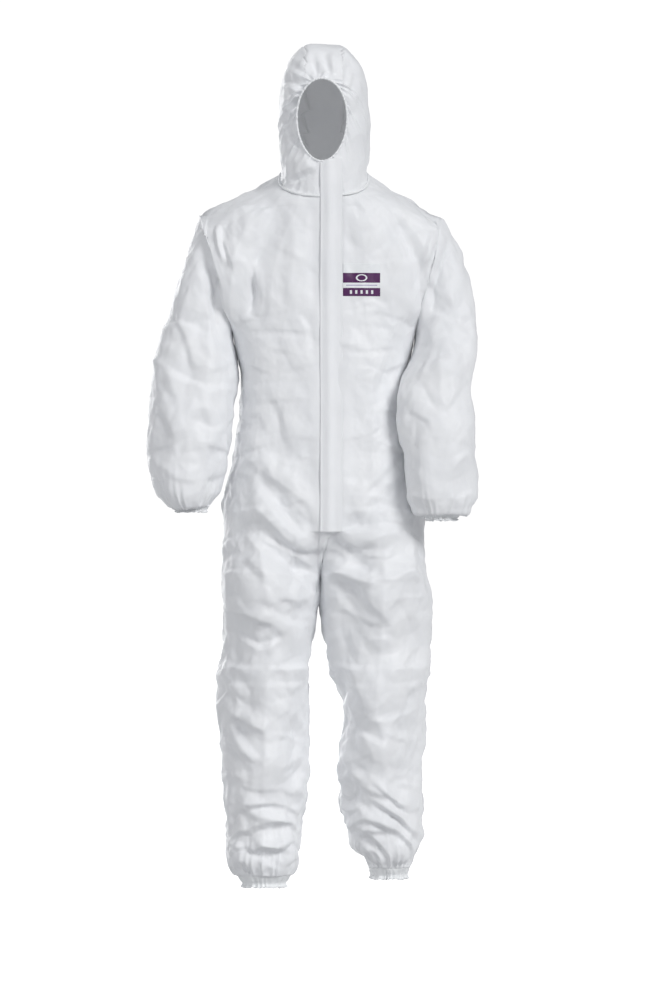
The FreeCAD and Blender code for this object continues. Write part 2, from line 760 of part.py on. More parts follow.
def make_chest_print():
    """A thin rectangular printed patch on the wearer's left chest."""
    left, right = 43.0, 113.0
    top, bottom = -155.0, -222.0
    columns, rows = 8, 5
    near, far = 0.35, 0.65
    outer = []
    inner = []
    for r in range(rows + 1):
        z = between(top, bottom, r / rows)
        outer_row = []
        inner_row = []
        for c in range(columns + 1):
            x = between(left, right, c / columns)
            start = zip_x + zip_opening
            share = (x - start) / (armhole_x(z) - start)
            edge = armhole_depth(z)
            depth = edge + (front_depth(z) - edge) * (1 - share ** roundness) ** (1 / roundness)
            outer_row.append(Vector(x, -depth - far, z))
            inner_row.append(Vector(x, -depth - near, z))
        outer.append(outer_row)
        inner.append(inner_row)
    facets = grid_triangles(outer)
    facets += [(a, c, b) for a, b, c in grid_triangles(inner)]
    outline = [(0, c) for c in range(columns)] + [(r, columns) for r in range(rows)]
    outline += [(rows, c) for c in range(columns, 0, -1)] + [(r, 0) for r in range(rows, 0, -1)]
    for (r, c), (s, d) in zip(outline, outline[1:] + outline[:1]):
        facets.append((outer[r][c], inner[r][c], inner[s][d]))
        facets.append((outer[r][c], inner[s][d], outer[s][d]))
    save("chest_print", solid_from(facets))


def make_size_label():
    """A folded satin label hanging from the neck seam inside the nape."""
    label = box(-16, 16, neck_back_depth - 6.0, neck_back_depth - 5.4, 24.0, 48.0)
    save("size_label", label)


make_body_panels()
for body_side, side_name in ((1, "left"), (-1, "right")):
    make_sleeve(body_side, side_name)
make_face_hem()
make_neck_seam()
make_zip_tapes()
make_zip_stops()
make_slider()
make_pull_tab()
make_storm_flap()
make_ankle_hems()
make_chest_print()
make_size_label()
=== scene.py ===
import math

import bmesh
import bpy
import numpy as np
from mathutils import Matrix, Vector, noise
from mathutils.bvhtree import BVHTree


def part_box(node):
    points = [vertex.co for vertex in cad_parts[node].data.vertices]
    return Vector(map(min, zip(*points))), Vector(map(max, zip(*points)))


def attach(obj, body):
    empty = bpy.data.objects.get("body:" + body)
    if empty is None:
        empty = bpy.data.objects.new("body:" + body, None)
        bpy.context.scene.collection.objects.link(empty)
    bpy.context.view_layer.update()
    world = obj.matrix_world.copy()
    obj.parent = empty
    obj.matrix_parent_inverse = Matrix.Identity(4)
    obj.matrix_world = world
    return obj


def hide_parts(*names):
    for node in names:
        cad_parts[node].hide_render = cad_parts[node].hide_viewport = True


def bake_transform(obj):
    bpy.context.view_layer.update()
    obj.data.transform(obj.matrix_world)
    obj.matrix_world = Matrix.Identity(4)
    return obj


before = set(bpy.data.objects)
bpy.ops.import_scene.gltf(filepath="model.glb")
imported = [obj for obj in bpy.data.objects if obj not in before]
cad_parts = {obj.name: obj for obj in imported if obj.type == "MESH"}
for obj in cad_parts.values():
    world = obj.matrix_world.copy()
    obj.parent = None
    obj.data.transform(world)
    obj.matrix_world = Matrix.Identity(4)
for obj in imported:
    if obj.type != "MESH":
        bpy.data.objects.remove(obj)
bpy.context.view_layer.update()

MM = 0.001
SIDES = ((1, "left"), (-1, "right"))      # the wearer's left is +X

# The suit's shape is worked out in millimetres in the frame's axes and scaled at the end.
ROUNDNESS = 2.4             # exponent of the rounded cross-sections
ZIP_X = 10.0
ZIP_OPENING = 6.0           # from the zip's middle to each front panel's edge
FRONT_DEPTH = 103.0         # neck middle to the zip line at z = 0
FRONT_LEAN = 0.055          # forwards for each mm down

NECK_Z, NECK_TILT = 22.0, 0.385
NECK_HALF_WIDTH, NECK_FRONT, NECK_BACK = 91.0, 104.0, 88.0
SHOULDER_X, SHOULDER_Z, SHOULDER_BACK = 246.0, -56.0, 114.0
ARMPIT_X, ARMPIT_Z, ARMPIT_BACK = 186.0, -300.0, 122.0
ARMHOLE_DEPTH = 84.0
SHOULDER_BULGE = {-1: 22.0, 1: -2.0}        # how far each side bows out between neck and shoulder
# Middle (x, z), reach, and how far the cloth moves towards +X and up.
SHOULDER_DRAPE = [(-240, -68, 55, -11, 4), (-135, -6, 28, 5, -4), (238, -50, 55, -8, -3)]
FRONT_LIMIT = -170.0        # y from which folds in front are pressed back
RELAXED_ROWS = 21           # mesh rows that are evened out each side of the shoulder and armpit
SEAT_TOP, CROTCH_Z, CROTCH_X = -700.0, -830.0, -8.0

QUARTER = 96                # mesh columns in a quarter of the trunk's girth
YOKE_ROWS = 34              # neck seam to shoulder point
ARM_ROWS = 70               # shoulder point to armpit
ARMPIT_ROW = YOKE_ROWS + ARM_ROWS
WAIST_ROWS = 130            # armpit to seat
SEAT_ROWS = 42              # seat to crotch
ROW_STEP = 3.4              # between mesh rows down the legs and along the sleeves

# Height, half width, back depth.
TRUNK = [(-300, 186, 122), (-345, 180, 119), (-390, 171, 114), (-480, 177, 112), (-560, 188, 117),
         (-650, 203, 128), (-700, 204, 134), (-830, 214, 132)]

# Height, inner and outer edge away from the centre plane, middle in depth, half depth.
LEGS = {
    -1: [(-830, 8, 214, -2, 124), (-870, 20, 210, -4, 113), (-950, 30, 208, -3, 100),
         (-1045, 34, 220, -7, 94), (-1110, 35, 219, -2, 92), (-1200, 30, 211, 4, 88),
         (-1260, 32, 204, 7, 84), (-1310, 42, 201, 8, 82), (-1365, 49, 197, 7, 78),
         (-1394, 56, 194, 4, 70), (-1412, 68, 180, 2, 56)],
    1: [(-830, -8, 217, -2, 124), (-870, -3, 220, -4, 113), (-950, 8, 220, -3, 100),
        (-1010, 24, 212, -7, 94), (-1092, 40, 208, -2, 90), (-1200, 26, 200, 4, 88),
        (-1260, 30, 205, 7, 84), (-1310, 48, 203, 8, 82), (-1350, 58, 201, 7, 76),
        (-1378, 82, 186, 4, 62), (-1396, 92, 177, 2, 46)],
}

# Rings of each sleeve: outer point (x, z), inner point (x, z), middle in depth, half depth.
SLEEVES = {
    -1: [((286, -140), (184, -320), -6, 80), ((319, -251), (177, -352), -14, 76),
         ((346, -325), (173, -392), -24, 75), ((358, -424), (181, -440), -34, 73),
         ((359, -500), (186, -500), -44, 70), ((354, -573), (203, -573), -54, 64),
         ((342, -622), (216, -622), -60, 56), ((312, -648), (238, -650), -62, 42)],
    1: [((288, -140), (185, -320), -10, 79), ((315, -242), (177, -350), -40, 71),
        ((319, -322), (157, -388), -78, 66), ((308, -405), (146, -428), -106, 61),
        ((311, -475), (151, -480), -113, 59), ((314, -560), (164, -560), -118, 57),
        ((314, -625), (170, -628), -120, 52), ((292, -662), (190, -666), -120, 42)],
}
# Each cuff's middle (x, y, z) and its half width and depth.
CUFFS = {-1: (272, -62, -652, 37, 32), 1: (240, -119, -669, 38, 33)}
CUFF_RADIUS, CUFF_HEM = 31.0, 12.0      # at the elastic, and the hem's height
ANKLE_BOTTOM = {-1: -1436.0, 1: -1419.0}
ANKLE_RADIUS = {-1: 45.0, 1: 37.0}
WAIST_Z = -420.0            # the elastic across the back
CLOTH, FLAP_CLOTH = 0.5, 0.8            # thickness of the cloth, and of the flap's two layers


# ---- curves --------------------------------------------------------------------------
def mix(a, b, t):
    return a + (b - a) * t


def ease(t):
    t = np.clip(t, 0.0, 1.0)
    return t * t * (3 - 2 * t)


def curve(table, at):
    """Smooth curves through a table's columns; its first column is where they hold."""
    table = np.array(table, float)
    if table[0, 0] > table[-1, 0]:
        table = table[::-1]
    at = np.asarray(at, float)
    x, values = table[:, 0], table[:, 1:]
    slopes = np.empty_like(values)
    slopes[1:-1] = (values[2:] - values[:-2]) / (x[2:] - x[:-2])[:, None]
    slopes[0] = (values[1] - values[0]) / (x[1] - x[0])
    slopes[-1] = (values[-1] - values[-2]) / (x[-1] - x[-2])
    i = np.clip(np.searchsorted(x, at) - 1, 0, len(x) - 2)
    span = x[i + 1] - x[i]
    t = (at - x[i]) / span
    t, span = t[..., None], span[..., None]
    return ((2 * t ** 3 - 3 * t ** 2 + 1) * values[i] + (t ** 3 - 2 * t ** 2 + t) * slopes[i] * span
            + (3 * t ** 2 - 2 * t ** 3) * values[i + 1] + (t ** 3 - t ** 2) * slopes[i + 1] * span)


def power(value):
    return np.sign(value) * np.abs(value) ** (2 / ROUNDNESS)


def front_depth(z, tilt=0.0):
    return (FRONT_DEPTH - FRONT_LEAN * z) / (1 - FRONT_LEAN * tilt)


# ---- the suit's surface --------------------------------------------------------------
def trunk_grid(side, front):
    """Rows of points from the neck seam to the crotch; columns from the centre to the side."""
    angle = np.linspace(0, math.pi / 2, QUARTER + 1)
    sine, cosine = power(np.sin(angle)), power(np.cos(angle))
    facing = -1 if front else 1
    grid = []

    def row(z, tilt, half_width, back, edge, bulge):
        depth = front_depth(z, tilt) if front else back
        k = ease((SEAT_TOP - z) / (SEAT_TOP - CROTCH_Z))
        opening = side * ZIP_X + ZIP_OPENING * ease((z - SEAT_TOP) / 4)
        start = mix(opening if front else 0.0, side * CROTCH_X, k)
        x = start + (half_width - start) * sine
        share = (x - start) / (half_width - start)
        across = mix(cosine, 1 - share ** 2.6, bulge)
        y = edge + (depth - edge) * across
        inner, outer, middle_y, leg_depth = curve(LEGS[side], CROTCH_Z)
        leg_x = (inner + outer) / 2 - (outer - inner) / 2 * np.cos(2 * angle)
        leg_y = middle_y + facing * leg_depth * power(np.sin(2 * angle))
        x = mix(x, leg_x, k)
        y = mix(facing * y, leg_y, k)
        return np.stack([side * x, y, z + tilt * y], -1)

    for r in range(YOKE_ROWS):
        t = r / YOKE_ROWS
        bulge = SHOULDER_BULGE[side] * math.sin(math.pi * t ** 1.4)
        grid.append(row(mix(NECK_Z, SHOULDER_Z, t), mix(NECK_TILT, 0, t),
                        mix(NECK_HALF_WIDTH, SHOULDER_X, t) + bulge, mix(NECK_BACK, SHOULDER_BACK, t), 0.0, 0.0))
    for r in range(ARM_ROWS + 1):
        even = r / ARM_ROWS
        round_off = (1 - math.cos(math.pi * even)) / 2
        z = mix(SHOULDER_Z, ARMPIT_Z, mix(even, round_off, ease(sine)))
        down = (SHOULDER_Z - z) / (SHOULDER_Z - ARMPIT_Z)
        edge = ARMHOLE_DEPTH * np.sqrt(np.clip(1 - (2 * down - 1) ** 2, 0, 1))
        half_width = mix(SHOULDER_X, ARMPIT_X, down)
        back = mix(SHOULDER_BACK, ARMPIT_BACK, ease(1.6 * down))
        grid.append(row(z, 0.0, half_width, back, edge, ease(edge / ARMHOLE_DEPTH)))
    for r in range(1, WAIST_ROWS + SEAT_ROWS + 1):
        if r <= WAIST_ROWS:
            z = mix(ARMPIT_Z, SEAT_TOP, r / WAIST_ROWS)
        else:
            z = mix(SEAT_TOP, CROTCH_Z, (r - WAIST_ROWS) / SEAT_ROWS)
        half_width, back = curve(TRUNK, z)
        grid.append(row(z, 0.0, half_width, back, 0.0, 0.0))
    return np.array(grid)


def leg_grid(side, front):
    """Rows down one leg; columns from its inner line to its outer one."""
    angle = np.linspace(0, math.pi, QUARTER + 1)
    bottom = LEGS[side][-1][0]
    rows = round((CROTCH_Z - bottom) / ROW_STEP)
    z = np.linspace(CROTCH_Z, bottom, rows + 1)
    inner, outer, middle_y, depth = curve(LEGS[side], z).T
    x = ((inner + outer) / 2)[:, None] - ((outer - inner) / 2)[:, None] * np.cos(angle)
    y = middle_y[:, None] + (-1 if front else 1) * depth[:, None] * power(np.sin(angle))
    return np.stack([side * x, y, np.broadcast_to(z[:, None], x.shape)], -1)


def sleeve_grid(side):
    """Rings from the armhole to the cuff; columns round the arm from its outer line."""
    keys = [((SHOULDER_X, SHOULDER_Z), (ARMPIT_X, ARMPIT_Z), 0, ARMHOLE_DEPTH)] + SLEEVES[side]
    cx, cy, cz, cw, cd = CUFFS[side]
    keys.append(((cx + cw, cz), (cx - cw, cz), cy, cd))
    length = [0.0]
    for (o, i, _, _), (p, j, _, _) in zip(keys, keys[1:]):
        step = math.hypot((o[0] + i[0] - p[0] - j[0]) / 2, (o[1] + i[1] - p[1] - j[1]) / 2)
        length.append(length[-1] + step)
    table = [(s,) + k[0] + k[1] + k[2:] for s, k in zip(length, keys)]
    rows = round(length[-1] / ROW_STEP)
    ox, oz, ix, iz, y, depth = curve(table, np.linspace(0, length[-1], rows + 1)).T[:, :, None]
    angle = np.linspace(0, 2 * math.pi, 2 * ARM_ROWS + 1)[:-1]
    x = (ox + ix) / 2 + (ox - ix) / 2 * np.cos(angle)
    z = (oz + iz) / 2 + (oz - iz) / 2 * np.cos(angle)
    return np.stack([side * x, y - depth * np.sin(angle), z], -1)


class Cloth:
    """One welded sheet made of named grids: points in mm, quads, and the panel of each quad."""

    def __init__(self):
        self.points, self.quads, self.panels = [], [], []
        self.places = {}
        self.names = []

    def vertex(self, point):
        place = tuple(np.round(point * 10).astype(int))
        if place not in self.places:
            self.places[place] = len(self.points)
            self.points.append(point)
        return self.places[place]

    def add(self, name, grid, wrap=False):
        index = np.array([[self.vertex(p) for p in row] for row in grid])
        if wrap:
            index = np.concatenate([index, index[:, :1]], 1)
        number = len(self.names)
        self.names.append(name)
        for r in range(len(index) - 1):
            for c in range(index.shape[1] - 1):
                corners = [index[r, c], index[r, c + 1], index[r + 1, c + 1], index[r + 1, c]]
                corners = [v for k, v in enumerate(corners) if v != corners[k - 1]]
                if len(corners) > 2:
                    self.quads.append(corners)
                    self.panels.append(number)
        return index


def build_suit():
    """The body and sleeves as one welded sheet, with outward faces."""
    suit = Cloth()
    marks = {}
    for side, name in SIDES:
        for front, place in ((True, "front"), (False, "back")):
            trunk, leg = trunk_grid(side, front), leg_grid(side, front)
            grid = np.concatenate([trunk, leg[1:]])
            if (side > 0) == front:
                grid = grid[:, ::-1]
            index = suit.add(place + "_panel_" + name, grid)
            if (side > 0) == front:
                index = index[:, ::-1]
            marks[place, name] = index
        grid = sleeve_grid(side)
        if side < 0:
            grid = grid[:, ::-1]
        index = suit.add("sleeve_" + name, grid, wrap=True)
        marks["sleeve", name] = index[:, ::side]
    return suit, marks


# ---- folds ---------------------------------------------------------------------------
WIDE_FOLD = 25.0            # half width from which a fold is the same on both sides
# Each fold: height (a valley is negative), half width, sharpness from 0 to 1, then the
# points (x, z) that it runs through, seen from the front.
BODY_FOLDS = [
    # Pull lines from the neck seam over the right shoulder and down the chest.
    (12, 30, 1.0, [(-96, -14), (-150, -75), (-182, -140), (-190, -230), (-184, -290)]),
    (-9, 22, 0.3, [(-95, -12), (-150, -45), (-205, -78)]),
    (-15, 26, 1.0, [(-84, -10), (-122, -90), (-144, -170), (-150, -268)]),
    (6, 24, 0.2, [(-70, -30), (-62, -110), (-66, -190), (-80, -240)]),
    (-5, 14, 0.4, [(-20, -40), (-26, -150), (-16, -260)]),
    (7, 8, 0.9, [(-224, -72), (-217, -112), (-203, -150)]),
    (-7, 9, 0.9, [(-212, -70), (-205, -115), (-196, -150)]),
    (6, 10, 0.8, [(-204, -105), (-192, -135), (-182, -160)]),
    (-8, 9, 0.8, [(-152, -180), (-148, -230), (-158, -262)]),
    (6, 8, 0.8, [(-142, -150), (-138, -220), (-146, -262)]),
    (7, 12, 0.8, [(-238, -95), (-224, -150), (-205, -205), (-197, -285), (-181, -345)]),
    # The left shoulder and armhole.
    (-10, 20, 0.5, [(132, -26), (165, -90), (192, -152), (192, -245)]),
    (8, 16, 0.6, [(150, -24), (188, -90), (214, -150), (212, -240)]),
    (6, 9, 0.9, [(226, -84), (212, -120), (202, -160)]),
    (-6, 9, 0.8, [(232, -115), (216, -150), (206, -190)]),
    (6, 9, 0.8, [(238, -172), (218, -190), (198, -210)]),
    (5, 22, 0.2, [(60, -40), (84, -120), (80, -240)]),
    (-5, 18, 0.3, [(152, -300), (128, -370), (112, -440)]),
    (5, 14, 0.5, [(176, -300), (158, -370), (140, -460)]),
    # Creases from the pack: one across the chest and one down each side.
    (2.0, 6, 1.0, [(-176, -290), (-100, -288), (-14, -296)]),
    (-1.4, 7, 1.0, [(-174, -301), (-100, -299), (-14, -307)]),
    (1.6, 6, 1.0, [(34, -326), (90, -330), (156, -322)]),
    (-1.4, 7, 1.0, [(34, -337), (90, -341), (156, -333)]),
    (7, 27, 1.0, [(-138, -290), (-138, -480), (-132, -700)]),
    (6, 26, 1.0, [(99, -290), (100, -440), (98, -640)]),
    # Waist and lap.
    (-6, 18, 0.5, [(-182, -385), (-158, -440), (-146, -520)]),
    (5, 20, 0.3, [(-120, -380), (-80, -470), (-60, -560)]),
    (-6, 12, 0.7, [(-46, -255), (-28, -285), (-20, -330)]),
    (6, 14, 1.0, [(-185, -530), (-100, -596), (-19, -655)]),
    (-8, 12, 1.0, [(30, -700), (66, -690), (110, -694)]),
    (6, 22, 0.4, [(-128, -545), (-70, -635), (-22, -690)]),
    (-12, 20, 0.7, [(-140, -585), (-75, -668), (-14, -738)]),
    (12, 22, 0.6, [(-150, -632), (-66, -728), (-16, -786)]),
    (-12, 16, 0.8, [(-164, -686), (-60, -780), (-14, -824)]),
    (7, 16, 0.6, [(-172, -735), (-95, -815), (-40, -860)]),
    (-7, 14, 0.6, [(-120, -850), (-70, -880), (-22, -890)]),
    (-6, 20, 0.4, [(168, -600), (104, -652), (44, -702)]),
    (6, 18, 0.5, [(200, -650), (130, -700), (60, -734)]),
    (-10, 15, 0.7, [(6, -742), (55, -768), (104, -788), (160, -790)]),
    (9, 14, 0.7, [(10, -772), (60, -800), (120, -815)]),
    (-9, 12, 0.8, [(30, -790), (42, -840), (80, -880)]),
    (5, 6, 0.9, [(2, -700), (-6, -770), (-10, -832)]),
    (4, 14, 0.5, [(176, -480), (120, -540), (70, -620)]),
    (-5, 12, 0.6, [(190, -500), (140, -575), (80, -640)]),
    # Right leg: the pressed crease, then the lap, knee, shin and ankle.
    (25, 44, 1.0, [(-132, -650), (-130, -720), (-106, -890), (-122, -1086), (-122, -1190), (-128, -1310)]),
    (6, 26, 1.0, [(-166, -715), (-167, -885)]),
    (-11, 13, 1.0, [(-148, -694), (-82, -729), (-8, -770)]),
    (9, 13, 1.0, [(-208, -858), (-150, -868), (-96, -890)]),
    (-10, 13, 1.0, [(-204, -886), (-126, -931), (-90, -908)]),
    (7, 12, 1.0, [(-218, -985), (-185, -1010), (-176, -1066)]),
    (9, 12, 1.0, [(-196, -1074), (-160, -1090), (-118, -1110)]),
    (-11, 15, 1.0, [(-190, -1088), (-160, -1126), (-116, -1176)]),
    (8, 14, 1.0, [(-220, -1124), (-170, -1146), (-118, -1172)]),
    (9, 15, 1.0, [(-208, -1246), (-126, -1288), (-44, -1308)]),
    (-6, 9, 1.0, [(-128, -1264), (-104, -1280), (-84, -1290)]),
    (-9, 10, 1.0, [(-196, -1326), (-150, -1360), (-80, -1396)]),
    (7, 10, 1.0, [(-136, -1342), (-100, -1352), (-56, -1362)]),
    # Left leg.
    (25, 44, 1.0, [(118, -650), (122, -803), (109, -1075), (122, -1125), (120, -1215), (132, -1260),
                   (128, -1320)]),
    (-9, 14, 1.0, [(6, -728), (50, -744), (106, -738)]),
    (9, 13, 1.0, [(-10, -788), (74, -808), (88, -836), (130, -880)]),
    (-9, 12, 1.0, [(14, -806), (60, -826), (86, -852)]),
    (5, 11, 1.0, [(22, -856), (70, -872), (120, -894)]),
    (7, 24, 1.0, [(24, -905), (66, -990), (103, -1080)]),
    (-9, 13, 1.0, [(40, -1088), (84, -1108), (128, -1132)]),
    (5, 9, 1.0, [(126, -1110), (146, -1124), (172, -1132)]),
    (4, 12, 1.0, [(156, -1042), (180, -1030), (208, -1014)]),
    (8, 13, 1.0, [(34, -1202), (90, -1226), (150, -1254)]),
    (-8, 13, 1.0, [(30, -1220), (74, -1256), (118, -1294)]),
    (9, 11, 1.0, [(38, -1304), (84, -1312), (140, -1318)]),
    (-7, 10, 1.0, [(66, -1316), (92, -1342), (122, -1372)]),
]
SLEEVE_FOLDS = [
    # Right sleeve.
    (-15, 20, 0.8, [(-262, -92), (-246, -150), (-226, -205), (-214, -290), (-196, -360)]),
    (7, 13, 0.9, [(-311, -232), (-286, -290), (-262, -372)]),
    (-7, 12, 0.9, [(-330, -262), (-290, -270), (-236, -292)]),
    (12, 26, 0.9, [(-324, -352), (-300, -430), (-272, -540)]),
    (-10, 14, 1.0, [(-338, -352), (-285, -385), (-226, -408)]),
    (13, 30, 1.0, [(-240, -270), (-238, -420), (-240, -600)]),
    (6, 12, 0.9, [(-352, -430), (-318, -470), (-296, -520)]),
    (-5, 11, 0.9, [(-270, -470), (-232, -490), (-196, -476)]),
    (5, 12, 0.9, [(-336, -560), (-300, -590), (-262, -600)]),
    (5, 12, 0.7, [(-290, -110), (-296, -170), (-318, -235)]),
    # Left sleeve.
    (-12, 16, 0.7, [(262, -92), (246, -150), (226, -205), (214, -290)]),
    (6, 8, 0.9, [(268, -105), (250, -150), (236, -200)]),
    (-7, 13, 0.9, [(214, -240), (262, -266), (312, -290)]),
    (9, 14, 1.0, [(154, -378), (198, -318), (252, -292)]),
    (-9, 12, 1.0, [(160, -392), (206, -352), (268, -340)]),
    (11, 32, 1.0, [(241, -290), (236, -430), (234, -640)]),
    (6, 12, 0.9, [(176, -452), (216, -476), (238, -520)]),
    (-6, 12, 0.9, [(304, -400), (272, -430), (246, -470)]),
    (6, 13, 0.9, [(300, -540), (262, -566), (232, -574)]),
]


def along(x, z, route):
    """Distance from each point to a route, how far along it the nearest place is, 0 to 1, and
    whether the point lies on the route's left, which is above one that runs towards +X."""
    route = np.array(route, float)
    steps = np.hypot(*np.diff(route, axis=0).T)
    total = steps.sum()
    near, share, upper = np.full(len(x), 1e9), np.zeros(len(x)), np.zeros(len(x), bool)
    done = 0.0
    for a, b, step in zip(route, route[1:], steps):
        t = np.clip(((x - a[0]) * (b[0] - a[0]) + (z - a[1]) * (b[1] - a[1])) / step ** 2, 0, 1)
        gap = np.hypot(x - a[0] - t * (b[0] - a[0]), z - a[1] - t * (b[1] - a[1]))
        closer = gap < near
        near[closer] = gap[closer]
        share[closer] = ((done + t * step) / total)[closer]
        upper[closer] = ((b[0] - a[0]) * (z - a[1]) - (b[1] - a[1]) * (x - a[0]) > 0)[closer]
        done += step
    return near, share, upper


def folded(x, z, folds):
    """Height of all the folds together at each point. A narrow fold is gentle above and
    steep below; a wide one is even."""
    height = np.zeros(len(x))
    for rise, half_width, sharp, route in folds:
        gap, share, upper = along(x, z, route)
        if half_width < WIDE_FOLD:
            gap = gap * np.where(upper, 0.62, 1.7)
        tent = np.clip(1.5 - np.hypot(gap, 1.0) / half_width, 0, None) / 1.5
        mound = np.exp(-1.3 * (gap / half_width) ** 2)
        profile = mix(mound, tent, mix(0.6, 1.0, sharp))
        taper = np.clip(4.5 * np.minimum(share, 1 - share), 0, 1) ** 0.7
        height += rise * profile * taper
    return height


def random_folds(count, seed, low, high, rise):
    """Smaller folds in random places between two corners, mostly lying across the cloth."""
    random = np.random.default_rng(seed)
    folds = []
    for _ in range(count):
        start = random.uniform(low, high)
        heading = random.normal(0, 0.55) + (math.pi if random.random() < 0.5 else 0)
        route = [start]
        for _ in range(3):
            heading += random.normal(0, 0.35)
            step = random.uniform(22, 55) * np.array([math.cos(heading), math.sin(heading)])
            route.append(route[-1] + step)
        sign = 1 if random.random() < 0.5 else -1
        height = sign * random.uniform(0.5, 1) * rise
        folds.append((height, random.uniform(7, 15), random.uniform(0.4, 0.95), route))
    return folds


def facets(points, size, seed):
    """Flat facets that meet in sharp creases, like those of creased paper, from -1 to 1. They
    are taller than wide."""
    heights = np.random.default_rng(seed).uniform(-1, 1, (64, 64, 64))
    at = points / (size * np.array([1, 1, 1.4]))
    at = at + 0.35 * np.sin(at[:, [1, 2, 0]] * 1.7 + seed) + 0.2 * np.sin(at[:, [2, 0, 1]] * 2.9 + 2 * seed)
    at = at + at.sum(1)[:, None] / 3
    corner = np.floor(at).astype(int)
    part = at - corner
    order = np.argsort(-part, axis=1)
    part = np.take_along_axis(part, order, 1)
    weights = [1 - part[:, 0], part[:, 0] - part[:, 1], part[:, 1] - part[:, 2], part[:, 2]]
    total = np.zeros(len(points))
    for k, weight in enumerate(weights):
        total += weight * heights[tuple((corner % 64).T)]
        if k < 3:
            corner[np.arange(len(points)), order[:, k]] += 1
    return total


def swell(points, size, seed):
    """Slow soft undulation, from about -1 to 1."""
    return np.array([noise.noise(place) for place in points / size + seed])


def face_normals(points, quads):
    """Outward direction at each point of a mesh."""
    normals = np.zeros_like(points)
    for quad in (np.array([q for q in quads if len(q) == n]) for n in (3, 4)):
        if len(quad):
            a, b, c, d = (points[quad[:, k]] for k in (0, 1, 2, -1))
            flat = np.cross(c - a, d - b) if quad.shape[1] == 4 else np.cross(b - a, c - a)
            for k in range(quad.shape[1]):
                np.add.at(normals, quad[:, k], flat)
    return normals / np.maximum(np.linalg.norm(normals, axis=1), 1e-9)[:, None]


def gathers(turn, count, seed):
    """Uneven pleats round an elastic, from -1 in the valleys to 1 on the crests."""
    around = np.stack([np.cos(turn), np.sin(turn), np.full(len(turn), seed)], -1)
    drift = swell(around, 0.45, seed)
    depth = 0.85 + 0.6 * swell(around, 0.3, seed + 5)
    return (1 - 2 * np.abs(np.sin(count / 2 * turn + 3.2 * drift)) ** 0.8) * depth


def relaxed(marks, points):
    """Evens out the cloth across the shoulder point and the armpit, and drapes the shoulders."""
    points = points.copy()
    for side, name in SIDES:
        for place in ("front", "back"):
            index = marks[place, name][:, :QUARTER]
            for middle in (YOKE_ROWS, ARMPIT_ROW):
                rows = np.arange(middle - RELAXED_ROWS + 1, middle + RELAXED_ROWS)
                amount = (0.5 + 0.5 * np.cos(math.pi * (rows - middle) / RELAXED_ROWS))[:, None, None]
                for _ in range(150):
                    even = (points[index[rows - 1]] + points[index[rows + 1]]) / 2
                    points[index[rows]] += amount * (even - points[index[rows]])
    for x, z, reach, sideways, up in SHOULDER_DRAPE:
        near = np.exp(-((points[:, 0] - x) ** 2 + (points[:, 2] - z) ** 2) / reach ** 2)
        points[:, 0] += sideways * near
        points[:, 2] += up * near
    return points


def fold_ankle(side, leg, points, normals, push, slack):
    """Stacked folds above one ankle, and pleats over its elastic."""
    bottom = LEGS[side][-1][0]
    inner, outer, middle_y, _ = curve(LEGS[side], np.clip(points[leg, 2], bottom, CROTCH_Z)).T
    turn = np.arctan2(points[leg, 1] - middle_y, points[leg, 0] - side * (inner + outer) / 2)
    above = points[leg, 2] - bottom
    ring = np.stack([np.cos(turn), np.sin(turn), np.zeros(len(turn))], -1)
    wander = swell(ring + (points[leg, 2] / 260)[:, None], 0.9, 3.0 + side)
    bend = above / 46 + 0.45 * np.sin(turn + side) + 2.2 * wander
    part = bend - np.floor(bend)
    # Each fold swells slowly downwards and tucks back sharply over the next.
    stack = 2 * np.where(part < 0.28, part / 0.28, (1 - part) / 0.72) - 1
    amount = ease((215 - above) / 120) * ease((above - 4) / 55) * mix(0.45, 1.0, np.abs(normals[leg, 1]))
    push[leg] += 8.5 * stack * amount * (0.8 + 0.7 * swell(points[leg], 60, 8.0))
    push[leg] += 3.5 * facets(points[leg], 52, 21) * ease((260 - above) / 120)
    slack[leg] = mix(0.25, 1.0, ease(above / 70))
    push[leg] += 5.0 * gathers(turn, 24, 2.0 + side) * np.exp(-above / 34) * ease(above / 8)


def pleat_cuff(side, rings, push):
    """Pleats over one cuff's elastic."""
    turn = np.linspace(0, 2 * math.pi, rings.shape[1], endpoint=False)
    for r in range(1, len(rings)):
        left = (len(rings) - 1 - r) * ROW_STEP
        if left <= 150:
            push[rings[r]] += 4.6 * gathers(turn, 20, 12.0 + side) * math.exp(-left / 38) * ease(left / 10)


def looseness(marks, points, normals, sleeve):
    """1 where the cloth folds freely, down to 0 at the seams, along the zipper and where a
    sleeve hangs against the body."""
    x, y, z = points.T
    loose = np.ones(len(points))
    for side, name in SIDES:
        for place in ("front", "back"):
            index = marks[place, name]
            for r in range(16):
                loose[index[r]] = np.minimum(loose[index[r]], r / 16)
            loose[index[-1]] = 0
        index = marks["sleeve", name]
        loose[index[-1]] = 0
        loose[index[0]] *= 0.5
        from_armpit = np.hypot(side * x - ARMPIT_X, 0.55 * (z - ARMPIT_Z + 30))
        loose *= mix(1.0, ease(from_armpit / 75), np.clip(1.5 * np.abs(normals[:, 0]) - 0.3, 0, 1))
    loose *= mix(1.0, 0.55, normals[:, 0] ** 2)
    from_zip = ease((np.abs(x - ZIP_X) - 8) / 34)
    by_zip = (y < -60) & (z > -705) & ~sleeve
    return np.where(by_zip, np.minimum(loose, mix(0.0, 1.0, from_zip)), loose)


